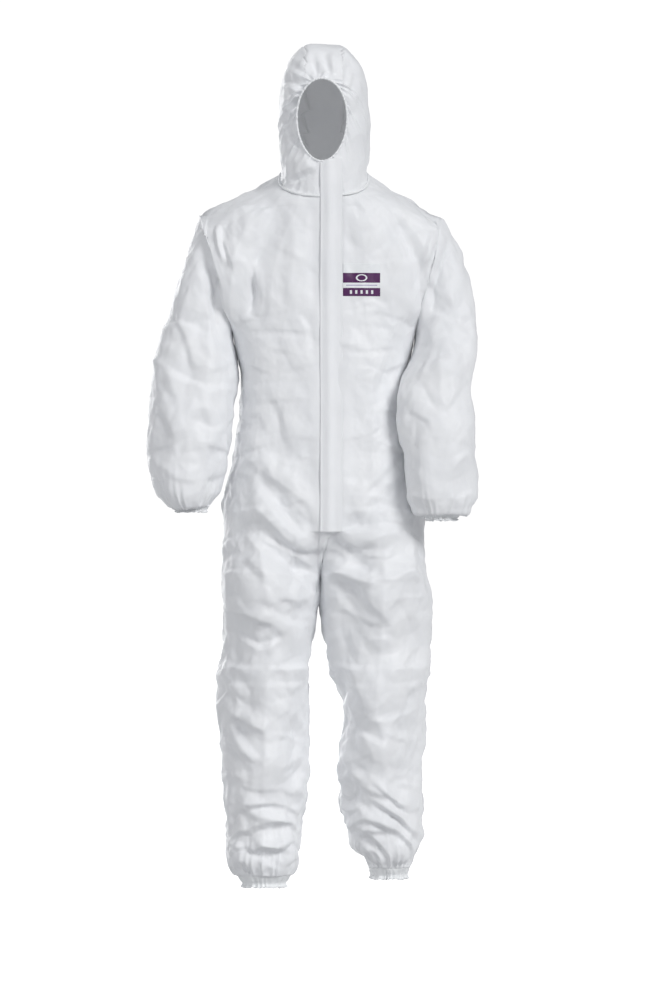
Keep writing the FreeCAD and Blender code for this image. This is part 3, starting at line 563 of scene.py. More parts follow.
def fold_suit(suit, marks, points):
    """Moves the points of the plain figure out and in where the cloth folds."""
    points = relaxed(marks, points)
    normals = face_normals(points, suit.quads)
    x, y, z = points.T
    push = np.zeros(len(points))
    slack = np.ones(len(points))
    sleeve = np.zeros(len(points), bool)
    for side, name in SIDES:
        sleeve[marks["sleeve", name][1:].ravel()] = True
    forward = np.clip(-1.6 * normals[:, 1], 0, 1)
    backward = np.clip(1.6 * normals[:, 1], 0, 1)
    sideways = np.clip(1.6 * np.abs(normals[:, 0]), 0, 1)
    push += np.where(sleeve, folded(x, z, SLEEVE_FOLDS), folded(x, z, BODY_FOLDS)) * forward
    push += 0.8 * folded(x, z, random_folds(70, 3, (-200, -1350), (200, -80), 4.0)) * forward * ~sleeve
    push += folded(x, z, random_folds(150, 4, (-230, -1380), (230, -60), 7.0)) * backward
    push += folded(y, z, random_folds(110, 5, (-110, -1350), (110, -80), 6.0)) * sideways
    # The elastic across the back of the waist draws the cloth in and gathers it.
    waist = np.exp(-((z - WAIST_Z) / 70) ** 2) * backward * ~sleeve
    pleats = np.array([noise.noise((a / 17, b / 190, 4.0)) for a, b in zip(x, z)])
    push += waist * 13 * pleats - 12 * np.exp(-((z - WAIST_Z) / 26) ** 2) * backward * ~sleeve
    for side, name in SIDES:
        leg = ~sleeve & (z < CROTCH_Z) & (side * (x - CROTCH_X) > 0)
        fold_ankle(side, leg, points, normals, push, slack)
        pleat_cuff(side, marks["sleeve", name][:, :-1], push)
    # Crumpling everywhere; the chest and belly lie calmer than the legs.
    crumpled = np.where(sleeve, 1.1, mix(1.3, 0.6, ease((z + 760) / 130)))
    crumples = 10 * facets(points, 150, 7) + 8 * facets(points, 82, 8) + 4.6 * facets(points, 38, 9)
    push += slack * crumpled * crumples
    moved = points + normals * (push * looseness(marks, points, normals, sleeve))[:, None]
    # The furthest folds in front are pressed back a little.
    over = FRONT_LIMIT - moved[:, 1]
    moved[:, 1] = np.where(over > 0, FRONT_LIMIT - 12 * np.tanh(over / 12), moved[:, 1])
    return moved


# ---- meshes --------------------------------------------------------------------------
def mesh_object(name, points, faces, smooth=True):
    """Points in metres."""
    mesh = bpy.data.meshes.new(name)
    mesh.from_pydata([tuple(p) for p in points], [], [tuple(int(v) for v in f) for f in faces])
    mesh.validate()
    piece = bpy.data.objects.new(name, mesh)
    bpy.context.scene.collection.objects.link(piece)
    mesh.polygons.foreach_set("use_smooth", [smooth] * len(mesh.polygons))
    return piece


def finished(piece):
    """Makes a piece's modifiers part of its mesh."""
    shape = piece.evaluated_get(bpy.context.evaluated_depsgraph_get())
    mesh = bpy.data.meshes.new_from_object(shape)
    piece.modifiers.clear()
    piece.data = mesh
    return piece


def thicken(piece, amount, inside_slot=0):
    """Gives a sheet real thickness, in mm, on its inside."""
    solid = piece.modifiers.new("thickness", "SOLIDIFY")
    solid.thickness = amount * MM
    solid.offset = -1
    solid.material_offset = inside_slot
    return finished(piece)


def turn_forwards(piece, points, faces):
    """Flips a sheet whose faces look back."""
    if face_normals(points, faces)[:, 1].mean() > 0:
        piece.data.flip_normals()


def settle(piece, body, slot, material, *nodes):
    """Gives a piece its material and says which body it rides on and what it replaces."""
    if material is not None:
        piece.data.materials.clear()
        piece.data.materials.append(material)
    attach(piece, body)
    if nodes:
        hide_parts(*nodes)


def settle_on_sleeve(piece, node):
    """Bakes the transform of a piece that runs along a sleeve and hides the part it replaces."""
    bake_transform(piece)
    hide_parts(node)


def grid_faces(rows, columns, wrap_rows=False, wrap_columns=False):
    """Faces between the points of a grid, row by row."""
    faces = []
    for r in range(rows if wrap_rows else rows - 1):
        for c in range(columns if wrap_columns else columns - 1):
            s, d = (r + 1) % rows, (c + 1) % columns
            faces.append((r * columns + c, r * columns + d, s * columns + d, s * columns + c))
    return faces


def directions(line, closed):
    """Unit direction of travel at each point of a line."""
    if closed:
        step = np.roll(line, -1, 0) - np.roll(line, 1, 0)
    else:
        step = np.gradient(line, axis=0)
    return step / np.maximum(np.linalg.norm(step, axis=1), 1e-9)[:, None]


def sweep(name, line, up, profile, closed=False):
    """A closed solid along a line in mm. The profile is a loop of (across, up) offsets, or
    one such loop for each point of the line."""
    line, up = np.asarray(line, float), np.asarray(up, float)
    travel = directions(line, closed)
    up = up - travel * (up * travel).sum(1)[:, None]
    up /= np.maximum(np.linalg.norm(up, axis=1), 1e-9)[:, None]
    across = np.cross(travel, up)
    profile = np.asarray(profile, float)
    if profile.ndim == 2:
        profile = np.broadcast_to(profile, (len(line),) + profile.shape)
    rings = line[:, None] + across[:, None] * profile[..., :1] + up[:, None] * profile[..., 1:]
    rows, columns = rings.shape[:2]
    faces = grid_faces(rows, columns, wrap_rows=closed, wrap_columns=True)
    if not closed:
        faces.append(tuple(range(columns)))
        faces.append(tuple(reversed(range((rows - 1) * columns, rows * columns))))
    piece = mesh_object(name, rings.reshape(-1, 3) * MM, faces)
    bpy.context.view_layer.update()
    outward_faces(piece.data)
    return piece


def outward_faces(mesh):
    work = bmesh.new()
    work.from_mesh(mesh)
    bmesh.ops.recalc_face_normals(work, faces=work.faces)
    work.to_mesh(mesh)
    work.free()


def ribbon(name, line, up, half_width, low, high):
    """A flat band lying on a line, from low to high above it."""
    across = np.linspace(-half_width, half_width, 5)
    top = [(a, high) for a in across]
    bottom = [(a, low) for a in reversed(across)]
    return sweep(name, line, up, top + bottom)


def rope(name, line, up, radius, closed, steps=10):
    """A round bead whose radius may change from point to point."""
    turn = np.linspace(0, 2 * math.pi, steps, endpoint=False)
    circle = np.stack([np.cos(turn), np.sin(turn)], -1)
    radius = np.broadcast_to(radius, len(line))
    return sweep(name, line, up, circle[None] * radius[:, None, None], closed)


# ---- materials -----------------------------------------------------------------------
class Finish:
    """A Principled material built up node by node."""

    def __init__(self, name, roughness=0.6, specular=0.35, sheen=0.0):
        self.material = bpy.data.materials.new(name)
        self.material.use_nodes = True
        self.tree = self.material.node_tree
        self.shader = self.tree.nodes["Principled BSDF"]
        self.shader.inputs["Roughness"].default_value = roughness
        self.shader.inputs["Specular IOR Level"].default_value = specular
        self.shader.inputs["Sheen Weight"].default_value = sheen
        self.place = self.node("ShaderNodeTexCoord").outputs["Object"]
        self.normal = None

    def node(self, kind, **settings):
        node = self.tree.nodes.new(kind)
        for name, value in settings.items():
            setattr(node, name, value)
        return node

    def link(self, output, target):
        self.tree.links.new(output, target)

    def noise(self, scale, detail=3.0, roughness=0.5):
        texture = self.node("ShaderNodeTexNoise")
        texture.inputs["Scale"].default_value = scale
        texture.inputs["Detail"].default_value = detail
        texture.inputs["Roughness"].default_value = roughness
        self.link(self.place, texture.inputs["Vector"])
        return texture.outputs["Fac"]

    def cells(self, scale):
        texture = self.node("ShaderNodeTexVoronoi")
        texture.inputs["Scale"].default_value = scale
        self.link(self.place, texture.inputs["Vector"])
        return texture.outputs["Distance"]

    def ramp(self, value, low, high, start=0.3, end=0.7):
        ramp = self.node("ShaderNodeValToRGB")
        ramp.color_ramp.elements[0].position = start
        ramp.color_ramp.elements[0].color = (*low, 1)
        ramp.color_ramp.elements[1].position = end
        ramp.color_ramp.elements[1].color = (*high, 1)
        self.link(value, ramp.inputs["Fac"])
        return ramp.outputs["Color"]

    def paint(self, color):
        self.link(color, self.shader.inputs["Base Color"])

    def rough(self, value, low, high):
        spread = self.node("ShaderNodeMapRange")
        spread.inputs["To Min"].default_value = low
        spread.inputs["To Max"].default_value = high
        self.link(value, spread.inputs["Value"])
        self.link(spread.outputs["Result"], self.shader.inputs["Roughness"])

    def bump(self, height, distance, strength=1.0):
        bump = self.node("ShaderNodeBump")
        bump.inputs["Strength"].default_value = strength
        bump.inputs["Distance"].default_value = distance
        self.link(height, bump.inputs["Height"])
        if self.normal is not None:
            self.link(self.normal, bump.inputs["Normal"])
        self.normal = bump.outputs["Normal"]
        self.link(self.normal, self.shader.inputs["Normal"])


def laminate(name, low, high, roughness=0.5, painted_glow=0.0):
    """Microporous film on a spun-bonded web: a faint pattern of bonded points under a
    satin film, with soft clouding and tiny wrinkles. The painted glow is a faint emission:
    painted light that stands in for the daylight coming through the thin cloth, where it is seen from inside."""
    finish = Finish(name, specular=0.32, sheen=0.08)
    # Painted light: a faint emission stands in for daylight coming through the cloth.
    finish.shader.inputs["Emission Color"].default_value = (1, 1, 1, 1)
    finish.shader.inputs["Emission Strength"].default_value = painted_glow
    finish.paint(finish.ramp(finish.noise(14, 4), low, high, 0.25, 0.75))
    finish.rough(finish.noise(60, 3), roughness - 0.06, roughness + 0.08)
    finish.bump(finish.cells(620), 0.00006, 0.35)
    finish.bump(finish.noise(240, 5, 0.6), 0.00025, 0.5)
    finish.bump(finish.noise(45, 4, 0.55), 0.0012, 0.35)
    return finish.material


def woven(name, low, high, pitch, roughness=0.75):
    """Ribs across two directions, for tapes, elastics and seam bindings."""
    finish = Finish(name, roughness=roughness, specular=0.25, sheen=0.2)
    finish.paint(finish.ramp(finish.noise(90, 3), low, high))
    for direction in ("X", "Z"):
        wave = finish.node("ShaderNodeTexWave", bands_direction=direction)
        wave.inputs["Scale"].default_value = 1 / pitch / 6.28
        wave.inputs["Distortion"].default_value = 1.2
        wave.inputs["Detail Scale"].default_value = 2.0
        finish.link(finish.place, wave.inputs["Vector"])
        finish.bump(wave.outputs["Fac"], 0.0002, 0.5)
    return finish.material


def plastic(name, low, high, roughness):
    """Moulded plastic, slightly clouded and not quite smooth."""
    finish = Finish(name, specular=0.5)
    finish.paint(finish.ramp(finish.noise(120, 2), low, high))
    finish.rough(finish.noise(300, 3), roughness - 0.08, roughness + 0.1)
    finish.bump(finish.noise(900, 2), 0.00003, 0.4)
    return finish.material


def printed(name):
    """Two dark bands on white, one with a ring and one with a row of bars, and a thin rule
    between them. Its coordinates run from 0 to 1 across and up the patch."""
    finish = Finish(name, specular=0.4)
    split = finish.node("ShaderNodeSeparateXYZ")
    finish.link(finish.node("ShaderNodeUVMap").outputs["UV"], split.inputs["Vector"])
    across, up = split.outputs["X"], split.outputs["Y"]

    def arithmetic(operation, *values):
        node = finish.node("ShaderNodeMath", operation=operation)
        for socket, value in zip(node.inputs, values):
            if isinstance(value, (int, float)):
                socket.default_value = value
            else:
                finish.link(value, socket)
        return node.outputs["Value"]

    def between(value, low, high):
        above = arithmetic("GREATER_THAN", value, low)
        return arithmetic("MULTIPLY", above, arithmetic("LESS_THAN", value, high))

    def repeated(value, count):
        return arithmetic("FRACT", arithmetic("MULTIPLY", value, count))

    bands = arithmetic("ADD", between(up, 0.41, 0.71), between(up, 0.0, 0.25))
    tall = arithmetic("DIVIDE", arithmetic("SUBTRACT", up, 0.56), 0.30)
    wide = arithmetic("MULTIPLY", arithmetic("SUBTRACT", across, 0.5), 2.33)
    squares = arithmetic("ADD", arithmetic("POWER", tall, 2.0), arithmetic("POWER", wide, 2.0))
    ring = between(arithmetic("SQRT", squares), 0.26, 0.36)
    bars = arithmetic("MULTIPLY", between(repeated(across, 7.0), 0.3, 0.7), between(up, 0.07, 0.18))
    bars = arithmetic("MULTIPLY", bars, between(across, 0.14, 0.86))
    marks = arithmetic("MAXIMUM", ring, bars)
    rule = arithmetic("MULTIPLY", between(up, 0.32, 0.345), between(across, 0.08, 0.92))
    ink = arithmetic("MULTIPLY", bands, arithmetic("SUBTRACT", 1.0, marks))

    def layered(base, color, amount):
        layer = finish.node("ShaderNodeMix", data_type="RGBA")
        finish.link(amount, layer.inputs["Factor"])
        finish.link(base, layer.inputs["A"])
        layer.inputs["B"].default_value = (*color, 1)
        return layer.outputs["Result"]

    cloth = finish.ramp(finish.noise(30), (0.78, 0.80, 0.82), (0.84, 0.86, 0.87))
    color = layered(cloth, (0.068, 0.007, 0.078), ink)
    color = layered(color, (0.35, 0.28, 0.48), rule)
    finish.paint(color)
    finish.rough(finish.noise(200), 0.35, 0.5)
    finish.bump(finish.cells(620), 0.00005, 0.3)
    return finish.material


# ---- hood ----------------------------------------------------------------------------
# Height, half width, front depth, back depth; then how much each height leans down to the front.
HOOD = [(23, 91, 104, 88), (42, 87, 100.7, 99), (62, 90, 99.6, 111), (95, 92, 100.5, 120),
        (125, 93, 103, 126), (150, 92, 105, 128)]
HOOD_TILT = [(23, 0.385), (42, 0.28), (62, 0.16), (95, 0.06), (125, 0.0)]
DOME_Z, DOME_HEIGHT = 150.0, 154.0
# Folds of the hood in front, written like those of the body.
HOOD_FOLDS = [
    (-5.0, 6, 1.0, [(-29, 284), (-24, 262), (-15, 232)]),
    (4.0, 6, 1.0, [(-20, 286), (-13, 262), (-6, 232)]),
    (-4.5, 6, 1.0, [(-4, 280), (3, 262), (12, 232)]),
    (3.5, 6, 1.0, [(10, 284), (16, 262), (21, 234)]),
    (-4.0, 6, 1.0, [(20, 268), (24, 248), (27, 226)]),
    (-3.0, 5, 1.0, [(-10, 256), (-8, 244), (-6, 228)]),
    (-5.0, 7, 1.0, [(-82, 256), (-64, 250), (-40, 234), (-24, 224)]),
    (4.0, 7, 1.0, [(-72, 270), (-52, 258), (-34, 240), (-22, 228)]),
    (-4.0, 6, 1.0, [(-54, 276), (-40, 254), (-24, 232)]),
    (-4.0, 6, 1.0, [(-84, 226), (-62, 215), (-38, 204)]),
    (4.0, 6, 1.0, [(-88, 212), (-66, 203), (-44, 194)]),
    (-4.0, 6, 1.0, [(-92, 190), (-72, 180), (-50, 168)]),
    (3.5, 6, 1.0, [(-92, 172), (-76, 160), (-56, 150)]),
    (-4.5, 7, 1.0, [(-84, 150), (-78, 128), (-62, 98)]),
    (-3.5, 6, 1.0, [(-74, 104), (-62, 92), (-46, 80)]),
    (4.0, 8, 1.0, [(-38, 304), (-36, 288), (-34, 262)]),
    (-3.0, 6, 1.0, [(52, 262), (49, 248), (42, 218)]),
    (-3.0, 6, 1.0, [(66, 236), (62, 218), (56, 192)]),
    (3.5, 7, 1.0, [(36, 300), (40, 286), (46, 262)]),
    (4.5, 12, 0.8, [(-84, 18), (-52, 32), (-14, 48)]),
    (-3.5, 8, 0.9, [(-70, 14), (-44, 20), (-16, 34)]),
]
STRIP_X = 39.0              # half width of the strip over the head
FACE_X, FACE_Z, FACE_HALF_WIDTH, FACE_HALF_HEIGHT, FACE_EGG = -4.0, 139.5, 49.0, 82.0, 0.05
HEM_BEAD = 2.6              # from the face opening's edge to the middle of its hem
HOOD_CENTRE = np.array([0.0, 6.0, 112.0])
HOOD_COLUMNS, HOOD_ROWS = 300, 80


def hood_share(points):
    """1 on the hood's surface and less inside it, taken at each point's height before the tilt."""
    x, y, z = points.T
    level = z.copy()
    heights, tilts = np.array(HOOD_TILT).T
    for _ in range(8):
        level = z - np.interp(level, heights, tilts) * y
    sizes = curve(HOOD, np.clip(level, 23, DOME_Z))
    depth = np.where(y < 0, sizes[:, 1], sizes[:, 2])
    top = np.clip(level - DOME_Z, 0, None) / DOME_HEIGHT
    return (np.abs(x) / sizes[:, 0]) ** ROUNDNESS + (np.abs(y) / depth) ** ROUNDNESS + top ** ROUNDNESS


def face_ring(turn, grow=0.0):
    """The face opening's edge; the turn starts at its lowest point."""
    lift = -np.cos(turn)
    x = FACE_X + (FACE_HALF_WIDTH + grow) * np.sin(turn) * (1 + FACE_EGG * lift)
    return x, FACE_Z + (FACE_HALF_HEIGHT + grow) * lift


def neck_ring(turn):
    """The neck seam; the turn starts in front."""
    x = NECK_HALF_WIDTH * power(np.sin(turn))
    y = -power(np.cos(turn)) * np.where(np.cos(turn) > 0, NECK_FRONT, NECK_BACK)
    return np.stack([x, y, NECK_Z + NECK_TILT * y], -1)


def on_hood(centre, aim):
    """Where rays from inside the hood meet its surface."""
    low, high = np.zeros(len(aim)), np.full(len(aim), 400.0)
    for _ in range(26):
        middle = (low + high) / 2
        inside = hood_share(centre + aim * middle[:, None]) < 1
        low, high = np.where(inside, middle, low), np.where(inside, high, middle)
    return centre + aim * low[:, None]


def hood_front(x, z):
    """Depth of the hood's surface at a place on its front."""
    far = np.stack([x, np.full(len(x), -400.0), z], -1)
    low, high = far[:, 1].copy(), np.zeros(len(x))
    for _ in range(26):
        middle = (low + high) / 2
        inside = hood_share(np.stack([x, middle, z], -1)) < 1
        low, high = np.where(inside, low, middle), np.where(inside, middle, high)
    return low


def hood_grid():
    """Columns run from the face opening's edge over the head to the neck seam."""
    centre = HOOD_CENTRE
    face_turn = np.linspace(0.445, 2 * math.pi + 0.159, HOOD_COLUMNS)
    neck_turn = np.linspace(0.1153, 2 * math.pi + 0.0218, HOOD_COLUMNS)
    x, z = face_ring(face_turn, 3.0)
    start = np.stack([x, hood_front(x, z), z], -1)
    end = neck_ring(neck_turn)
    a, b = start - centre, end - centre
    a /= np.linalg.norm(a, axis=1)[:, None]
    b /= np.linalg.norm(b, axis=1)[:, None]
    angle = np.arccos(np.clip((a * b).sum(1), -1, 1))[:, None]
    grid = []
    for r in range(HOOD_ROWS + 1):
        t = r / HOOD_ROWS
        t = mix(t ** 1.35, t, 0.25)
        aim = (a * np.sin((1 - t) * angle) + b * np.sin(t * angle)) / np.sin(angle)
        grid.append(on_hood(centre, aim))
    grid[0], grid[-1] = start, end
    return np.array(grid), face_turn


def fold_hood(grid, turn):
    """Gathers round the face opening, seams proud of the cloth, and soft dents."""
    rows, columns = grid.shape[:2]
    points = grid.reshape(-1, 3)
    faces = grid_faces(rows, columns)
    normals = face_normals(points, faces)
    if (normals * (points - HOOD_CENTRE)).sum() < 0:
        normals = -normals
        faces = [f[::-1] for f in faces]
    steps = np.linalg.norm(np.diff(grid, axis=0), axis=2)
    travelled = np.concatenate([np.zeros((1, columns)), steps.cumsum(0)])
    total = travelled[-1]
    x, y, z = points.T
    spread = travelled.ravel()
    left = (total[None] - travelled).ravel()
    turns = np.tile(turn, rows)
    # More gathers over the brow and on the wearer's right than on the left.
    loose = 0.30 + 0.70 * ease((-np.cos(turns) + 0.25) / 0.9) * ease((0.75 - np.sin(turns)) / 1.1)
    loose = np.maximum(loose, 0.72 * ease((-np.sin(turns) - 0.1) / 0.5))
    loose *= mix(0.2, 1.0, ease((0.8 - np.cos(turns)) / 0.6))
    small, large = gathers(turns + 0.0006 * spread, 26, 31.0), gathers(turns + 0.0012 * spread, 11, 33.0)
    push = 7.0 * small * np.exp(-spread / 26) * ease(spread / 5) * loose
    push += 9.0 * large * np.exp(-spread / 75) * ease(spread / 14) * loose
    push += 3.0 * swell(points, 62, 41.0) * ease(spread / 30)
    push += 5.0 * facets(points, 46, 5) * ease(spread / 25)
    behind = ease((z - FACE_Z - 40) / 40) + ease(y / 40)
    off_seam = np.abs(np.abs(x) - STRIP_X)
    seam = 2.4 * np.exp(-(off_seam / 2.6) ** 2) - 1.6 * np.exp(-(off_seam / 9) ** 2)
    push += np.clip(behind, 0, 1) * seam
    push += 5.0 * np.exp(-(off_seam / 12) ** 2) * ease((z - 270) / 25) * ease((40 - y) / 40)
    push += 1.4 * folded(x, z, HOOD_FOLDS) * np.clip(-1.8 * normals[:, 1] + 0.2, 0, 1)
    push += 1.6 * gathers(turns, 17, 37.0) * np.exp(-left / 24) * ease(left / 6)
    flat_front = ease((np.abs(x - ZIP_X) - 12) / 26)
    under_flap = np.where((y < 0) & (z < FACE_Z - 60), flat_front, 1.0)
    push *= ease(left / 10) * under_flap
    return points + normals * push[:, None], faces


# ---- stage ---------------------------------------------------------------------------
CAMERA_X, CAMERA_Z, CAMERA_DISTANCE = 0.0196, -0.6386, 14.0
VIEW_HEIGHT = 2.06          # metres that the picture shows from top to bottom
SENSOR = 36.0
FLOOR_Z, FLOOR_REACH = -1.55, 30.0
# Name, the way it comes from, how soft it is in degrees, strength.
SUNS = (("key", (2.7, -3.3, 2.2), 22, 1.68), ("fill", (-3.4, -2.8, 1.0), 40, 0.58),
        ("back", (-2.0, 4.0, 0.8), 25, 0.9))


def make_camera(scene):
    camera = bpy.data.objects.new("camera", bpy.data.cameras.new("camera"))
    scene.collection.objects.link(camera)
    camera.location = (CAMERA_X, -CAMERA_DISTANCE, CAMERA_Z)
    camera.rotation_euler = (math.pi / 2, 0, 0)
    camera.data.lens = SENSOR * CAMERA_DISTANCE / VIEW_HEIGHT
    camera.data.sensor_width = SENSOR
    camera.data.clip_end = 100.0
    scene.camera = camera
    scene.view_settings.view_transform = "Standard"


def make_floor():
    corners = [(x * FLOOR_REACH, y * FLOOR_REACH, FLOOR_Z) for x, y in ((-1, -1), (1, -1), (1, 1), (-1, 1))]
    floor = mesh_object("floor", corners, [(0, 1, 2, 3)])
    paper = Finish("floor", roughness=0.9)
    paper.shader.inputs["Base Color"].default_value = (0.92, 0.92, 0.92, 1)
    paper.shader.inputs["Emission Color"].default_value = (1, 1, 1, 1)
    paper.shader.inputs["Emission Strength"].default_value = 0.8
    floor.data.materials.append(paper.material)
    floor.visible_diffuse = False


def make_light(scene):
    """A soft studio all round, white where the camera looks past the suit, and three suns."""
    world = bpy.data.worlds.new("world")
    scene.world = world
    world.use_nodes = True
    tree = world.node_tree
    studio = tree.nodes["Background"]
    studio.inputs["Color"].default_value = (0.95, 0.965, 1.0, 1)
    studio.inputs["Strength"].default_value = 0.395
    backdrop = tree.nodes.new("ShaderNodeBackground")
    backdrop.inputs["Color"].default_value = (1, 1, 1, 1)
    backdrop.inputs["Strength"].default_value = 1.05
    path = tree.nodes.new("ShaderNodeLightPath")
    either = tree.nodes.new("ShaderNodeMixShader")
    tree.links.new(path.outputs["Is Camera Ray"], either.inputs["Fac"])
    tree.links.new(studio.outputs["Background"], either.inputs[1])
    tree.links.new(backdrop.outputs["Background"], either.inputs[2])
    tree.links.new(either.outputs["Shader"], tree.nodes["World Output"].inputs["Surface"])
    for name, place, softness, strength in SUNS:
        light = bpy.data.objects.new(name, bpy.data.lights.new(name, "SUN"))
        light.data.angle = math.radians(softness)
        light.data.energy = strength
        light.rotation_euler = (-Vector(place)).to_track_quat("-Z", "Y").to_euler()
        scene.collection.objects.link(light)


# ---- pieces --------------------------------------------------------------------------
def panel_pieces(points, faces, panels, names, materials):
    """Splits a welded sheet into its panels, each with real thickness on its inside."""
    pieces = {}
    faces = np.array(faces, dtype=object)
    for number, name in enumerate(names):
        own = [faces[i] for i in np.nonzero(panels == number)[0]]
        used = sorted({v for face in own for v in face})
        where = {v: k for k, v in enumerate(used)}
        piece = mesh_object(name + "_cloth", points[used] * MM, [[where[v] for v in face] for face in own])
        piece.data.materials.append(materials["laminate_fabric"])
        # The inside faces take the laminate with a faint painted glow, which stands in for light coming through.
        piece.data.materials.append(materials["laminate_inside_painted_glow"])
        pieces[name] = thicken(piece, CLOTH, inside_slot=1)
    return pieces


def refined(points, faces, panels):
    """The same sheet with one level of smooth subdivision. In and out in mm."""
    piece = mesh_object("refined", points * MM, faces)
    piece.data.polygons.foreach_set("material_index", np.asarray(panels, np.int32))
    for _ in range(max(panels) + 1):
        piece.data.materials.append(None)
    piece.modifiers.new("smooth", "SUBSURF").levels = 1
    finished(piece)
    mesh = piece.data
    fine = np.empty(len(mesh.vertices) * 3, np.float32)
    mesh.vertices.foreach_get("co", fine)
    numbers = np.empty(len(mesh.polygons), np.int32)
    mesh.polygons.foreach_get("material_index", numbers)
    fine_faces = [tuple(p.vertices) for p in mesh.polygons]
    bpy.data.objects.remove(piece)
    bpy.data.meshes.remove(mesh)
    return fine.reshape(-1, 3).astype(float) / MM, fine_faces, numbers


def make_body(suit, points, materials):
    """Body panels and sleeves with their finest crumples; returns the points of the sheet
    for whatever is laid on it."""
    fine = points.copy()
    normals = face_normals(fine, suit.quads)
    still = ease((np.hypot(fine[:, 0] - ZIP_X, (fine[:, 1] + 120) * 0.4) - 20) / 40)
    fine += normals * (1.7 * facets(fine, 21, 14) * still)[:, None]
    fine += normals * (0.35 * swell(fine, 9, 17.0) * still)[:, None]
    panels = panel_pieces(fine, suit.quads, np.array(suit.panels), suit.names, materials)
    for name, piece in panels.items():
        if name.startswith("sleeve"):
            settle_on_sleeve(piece, name)
        else:
            settle(piece, "suit", "laminate_fabric", None, name)
    return fine


def make_seams(marks, points, normals, materials):
    """Bound allowances inside the long seams, and the raised seam round each armhole."""
    crotch = ARMPIT_ROW + WAIST_ROWS + SEAT_ROWS
    binding = materials["seam_binding"]
    lines = {}
    for side, name in SIDES:
        front = marks["front", name]
        lines["side_seam_tape_" + name] = front[ARMPIT_ROW + 2:-1, QUARTER]
        lines["inseam_tape_" + name] = front[crotch + 2:-1, 0]
        lines["sleeve_seam_tape_" + name] = marks["sleeve", name][1:-1, ARM_ROWS]
    lines["centre_back_seam_tape"] = marks["back", "left"][1:crotch - 1, 0]
    for node, line in lines.items():
        inside = points[line] - normals[line] * 1.6
        piece = ribbon(node + "_bound", inside, -normals[line], 3.5, 0.0, 0.5)
        if node.startswith("sleeve"):
            piece.data.materials.append(binding)
            settle_on_sleeve(piece, node)
        else:
            settle(piece, "suit", "seam_binding", binding, node)
    for side, name in SIDES:
        ring = marks["sleeve", name][0, :-1]
        lifted = points[ring] + normals[ring] * 0.4
        seam = rope("armhole_seam_" + name, lifted, normals[ring], 1.1, True, 8)
        settle(seam, "suit", "laminate_fabric", materials["laminate_fabric"])


def make_waist(marks, points, normals, materials):
    """The waist elastic and its casing follow the gathered back."""
    row = ARMPIT_ROW + round((ARMPIT_Z - WAIST_Z) / (ARMPIT_Z - SEAT_TOP) * WAIST_ROWS)
    reach = QUARTER - 14
    line = np.concatenate([marks["back", "right"][row][reach:0:-1], marks["back", "left"][row][:reach]])
    for node, slot, half_width, low, high in (("waist_elastic", "elastic", 5, 1.2, 2.0),
                                              ("waist_elastic_casing", "seam_binding", 9, 2.2, 2.7)):
        piece = ribbon(node + "_band", points[line], -normals[line], half_width, low, high)
        settle(piece, "suit", slot, materials[slot], node)


ELASTIC_SHARE = 0.62        # how far down a hem its elastic lies


def gathered_hem(kind, name, body, top, radius, lower, flare, count, materials):
    """A hem drawn in by its elastic: pleats run down from the panel's edge, pinch at the
    elastic and spread again below it."""
    columns = top.shape[0]
    turn = np.linspace(0, 2 * math.pi, columns, endpoint=False)
    middle = top.mean(0)
    pleats = gathers(turn, count, 51.0 + len(name))
    uneven = gathers(turn, 7, 55.0 + len(name))
    outer = np.full(columns, radius)
    out = top - middle
    out[:, 2] = 0
    size = np.linalg.norm(out, axis=1)[:, None]
    out /= size
    rows = []
    drop = middle[2] - lower
    for t in np.linspace(0, 1, 15):
        pinch = math.exp(-((t - ELASTIC_SHARE) / 0.2) ** 2)
        reach = mix(size, outer[:, None], t ** 0.8) * (1 - 0.06 * pinch) + flare * ease((t - 0.66) / 0.34)
        ripple = (pleats * 2.6 + uneven * 2.4) * (1 - 0.5 * pinch) * ease(t * 2.2)
        place = middle + out * (reach + ripple[:, None])
        place[:, 2] = mix(top[:, 2], lower, t) + (1.2 * pleats + 1.5 * uneven + 1.0) * ease((t - 0.5) / 0.5)
        rows.append(place)
    # The cloth turns in under the edge and up again inside the elastic.
    for inwards, up in ((1.2, 0.3), (3.2, 2.5), (3.8, drop * 0.35), (3.4, drop * 0.55)):
        place = rows[14] - out * inwards
        place[:, 2] += up
        rows.append(place)
    points = np.concatenate(rows)
    faces = grid_faces(len(rows), columns, wrap_columns=True)
    piece = mesh_object(kind + "_hem_" + name + "_cloth", points * MM, faces)
    outward_faces(piece.data)
    thicken(piece, CLOTH)
    settle(piece, body, "hem_fabric", materials["hem_fabric"], kind + "_hem_" + name)
    line = middle + out * (outer[:, None] - 2.2)
    line[:, 2] = mix(middle[2], lower, ELASTIC_SHARE)
    band = ribbon(kind + "_elastic_" + name + "_band", np.concatenate([line, line[:1]]),
                  np.concatenate([out, out[:1]]), min(3.0, drop * 0.2), -0.5, 0.5)
    settle(band, body, "elastic", materials["elastic"], kind + "_elastic_" + name)


def make_hems(marks, points, materials):
    for side, name in SIDES:
        front, back = marks["front", name][-1], marks["back", name][-1]
        top = points[np.concatenate([front, back[-2:0:-1]])]
        gathered_hem("ankle", name, "suit", top, ANKLE_RADIUS[side], ANKLE_BOTTOM[side], 4.0, 26, materials)
        top = points[marks["sleeve", name][-1, :-1]]
        lower = top[:, 2].mean() - CUFF_HEM
        gathered_hem("cuff", name, "sleeve_" + name, top, CUFF_RADIUS, lower, 3.0, 22, materials)


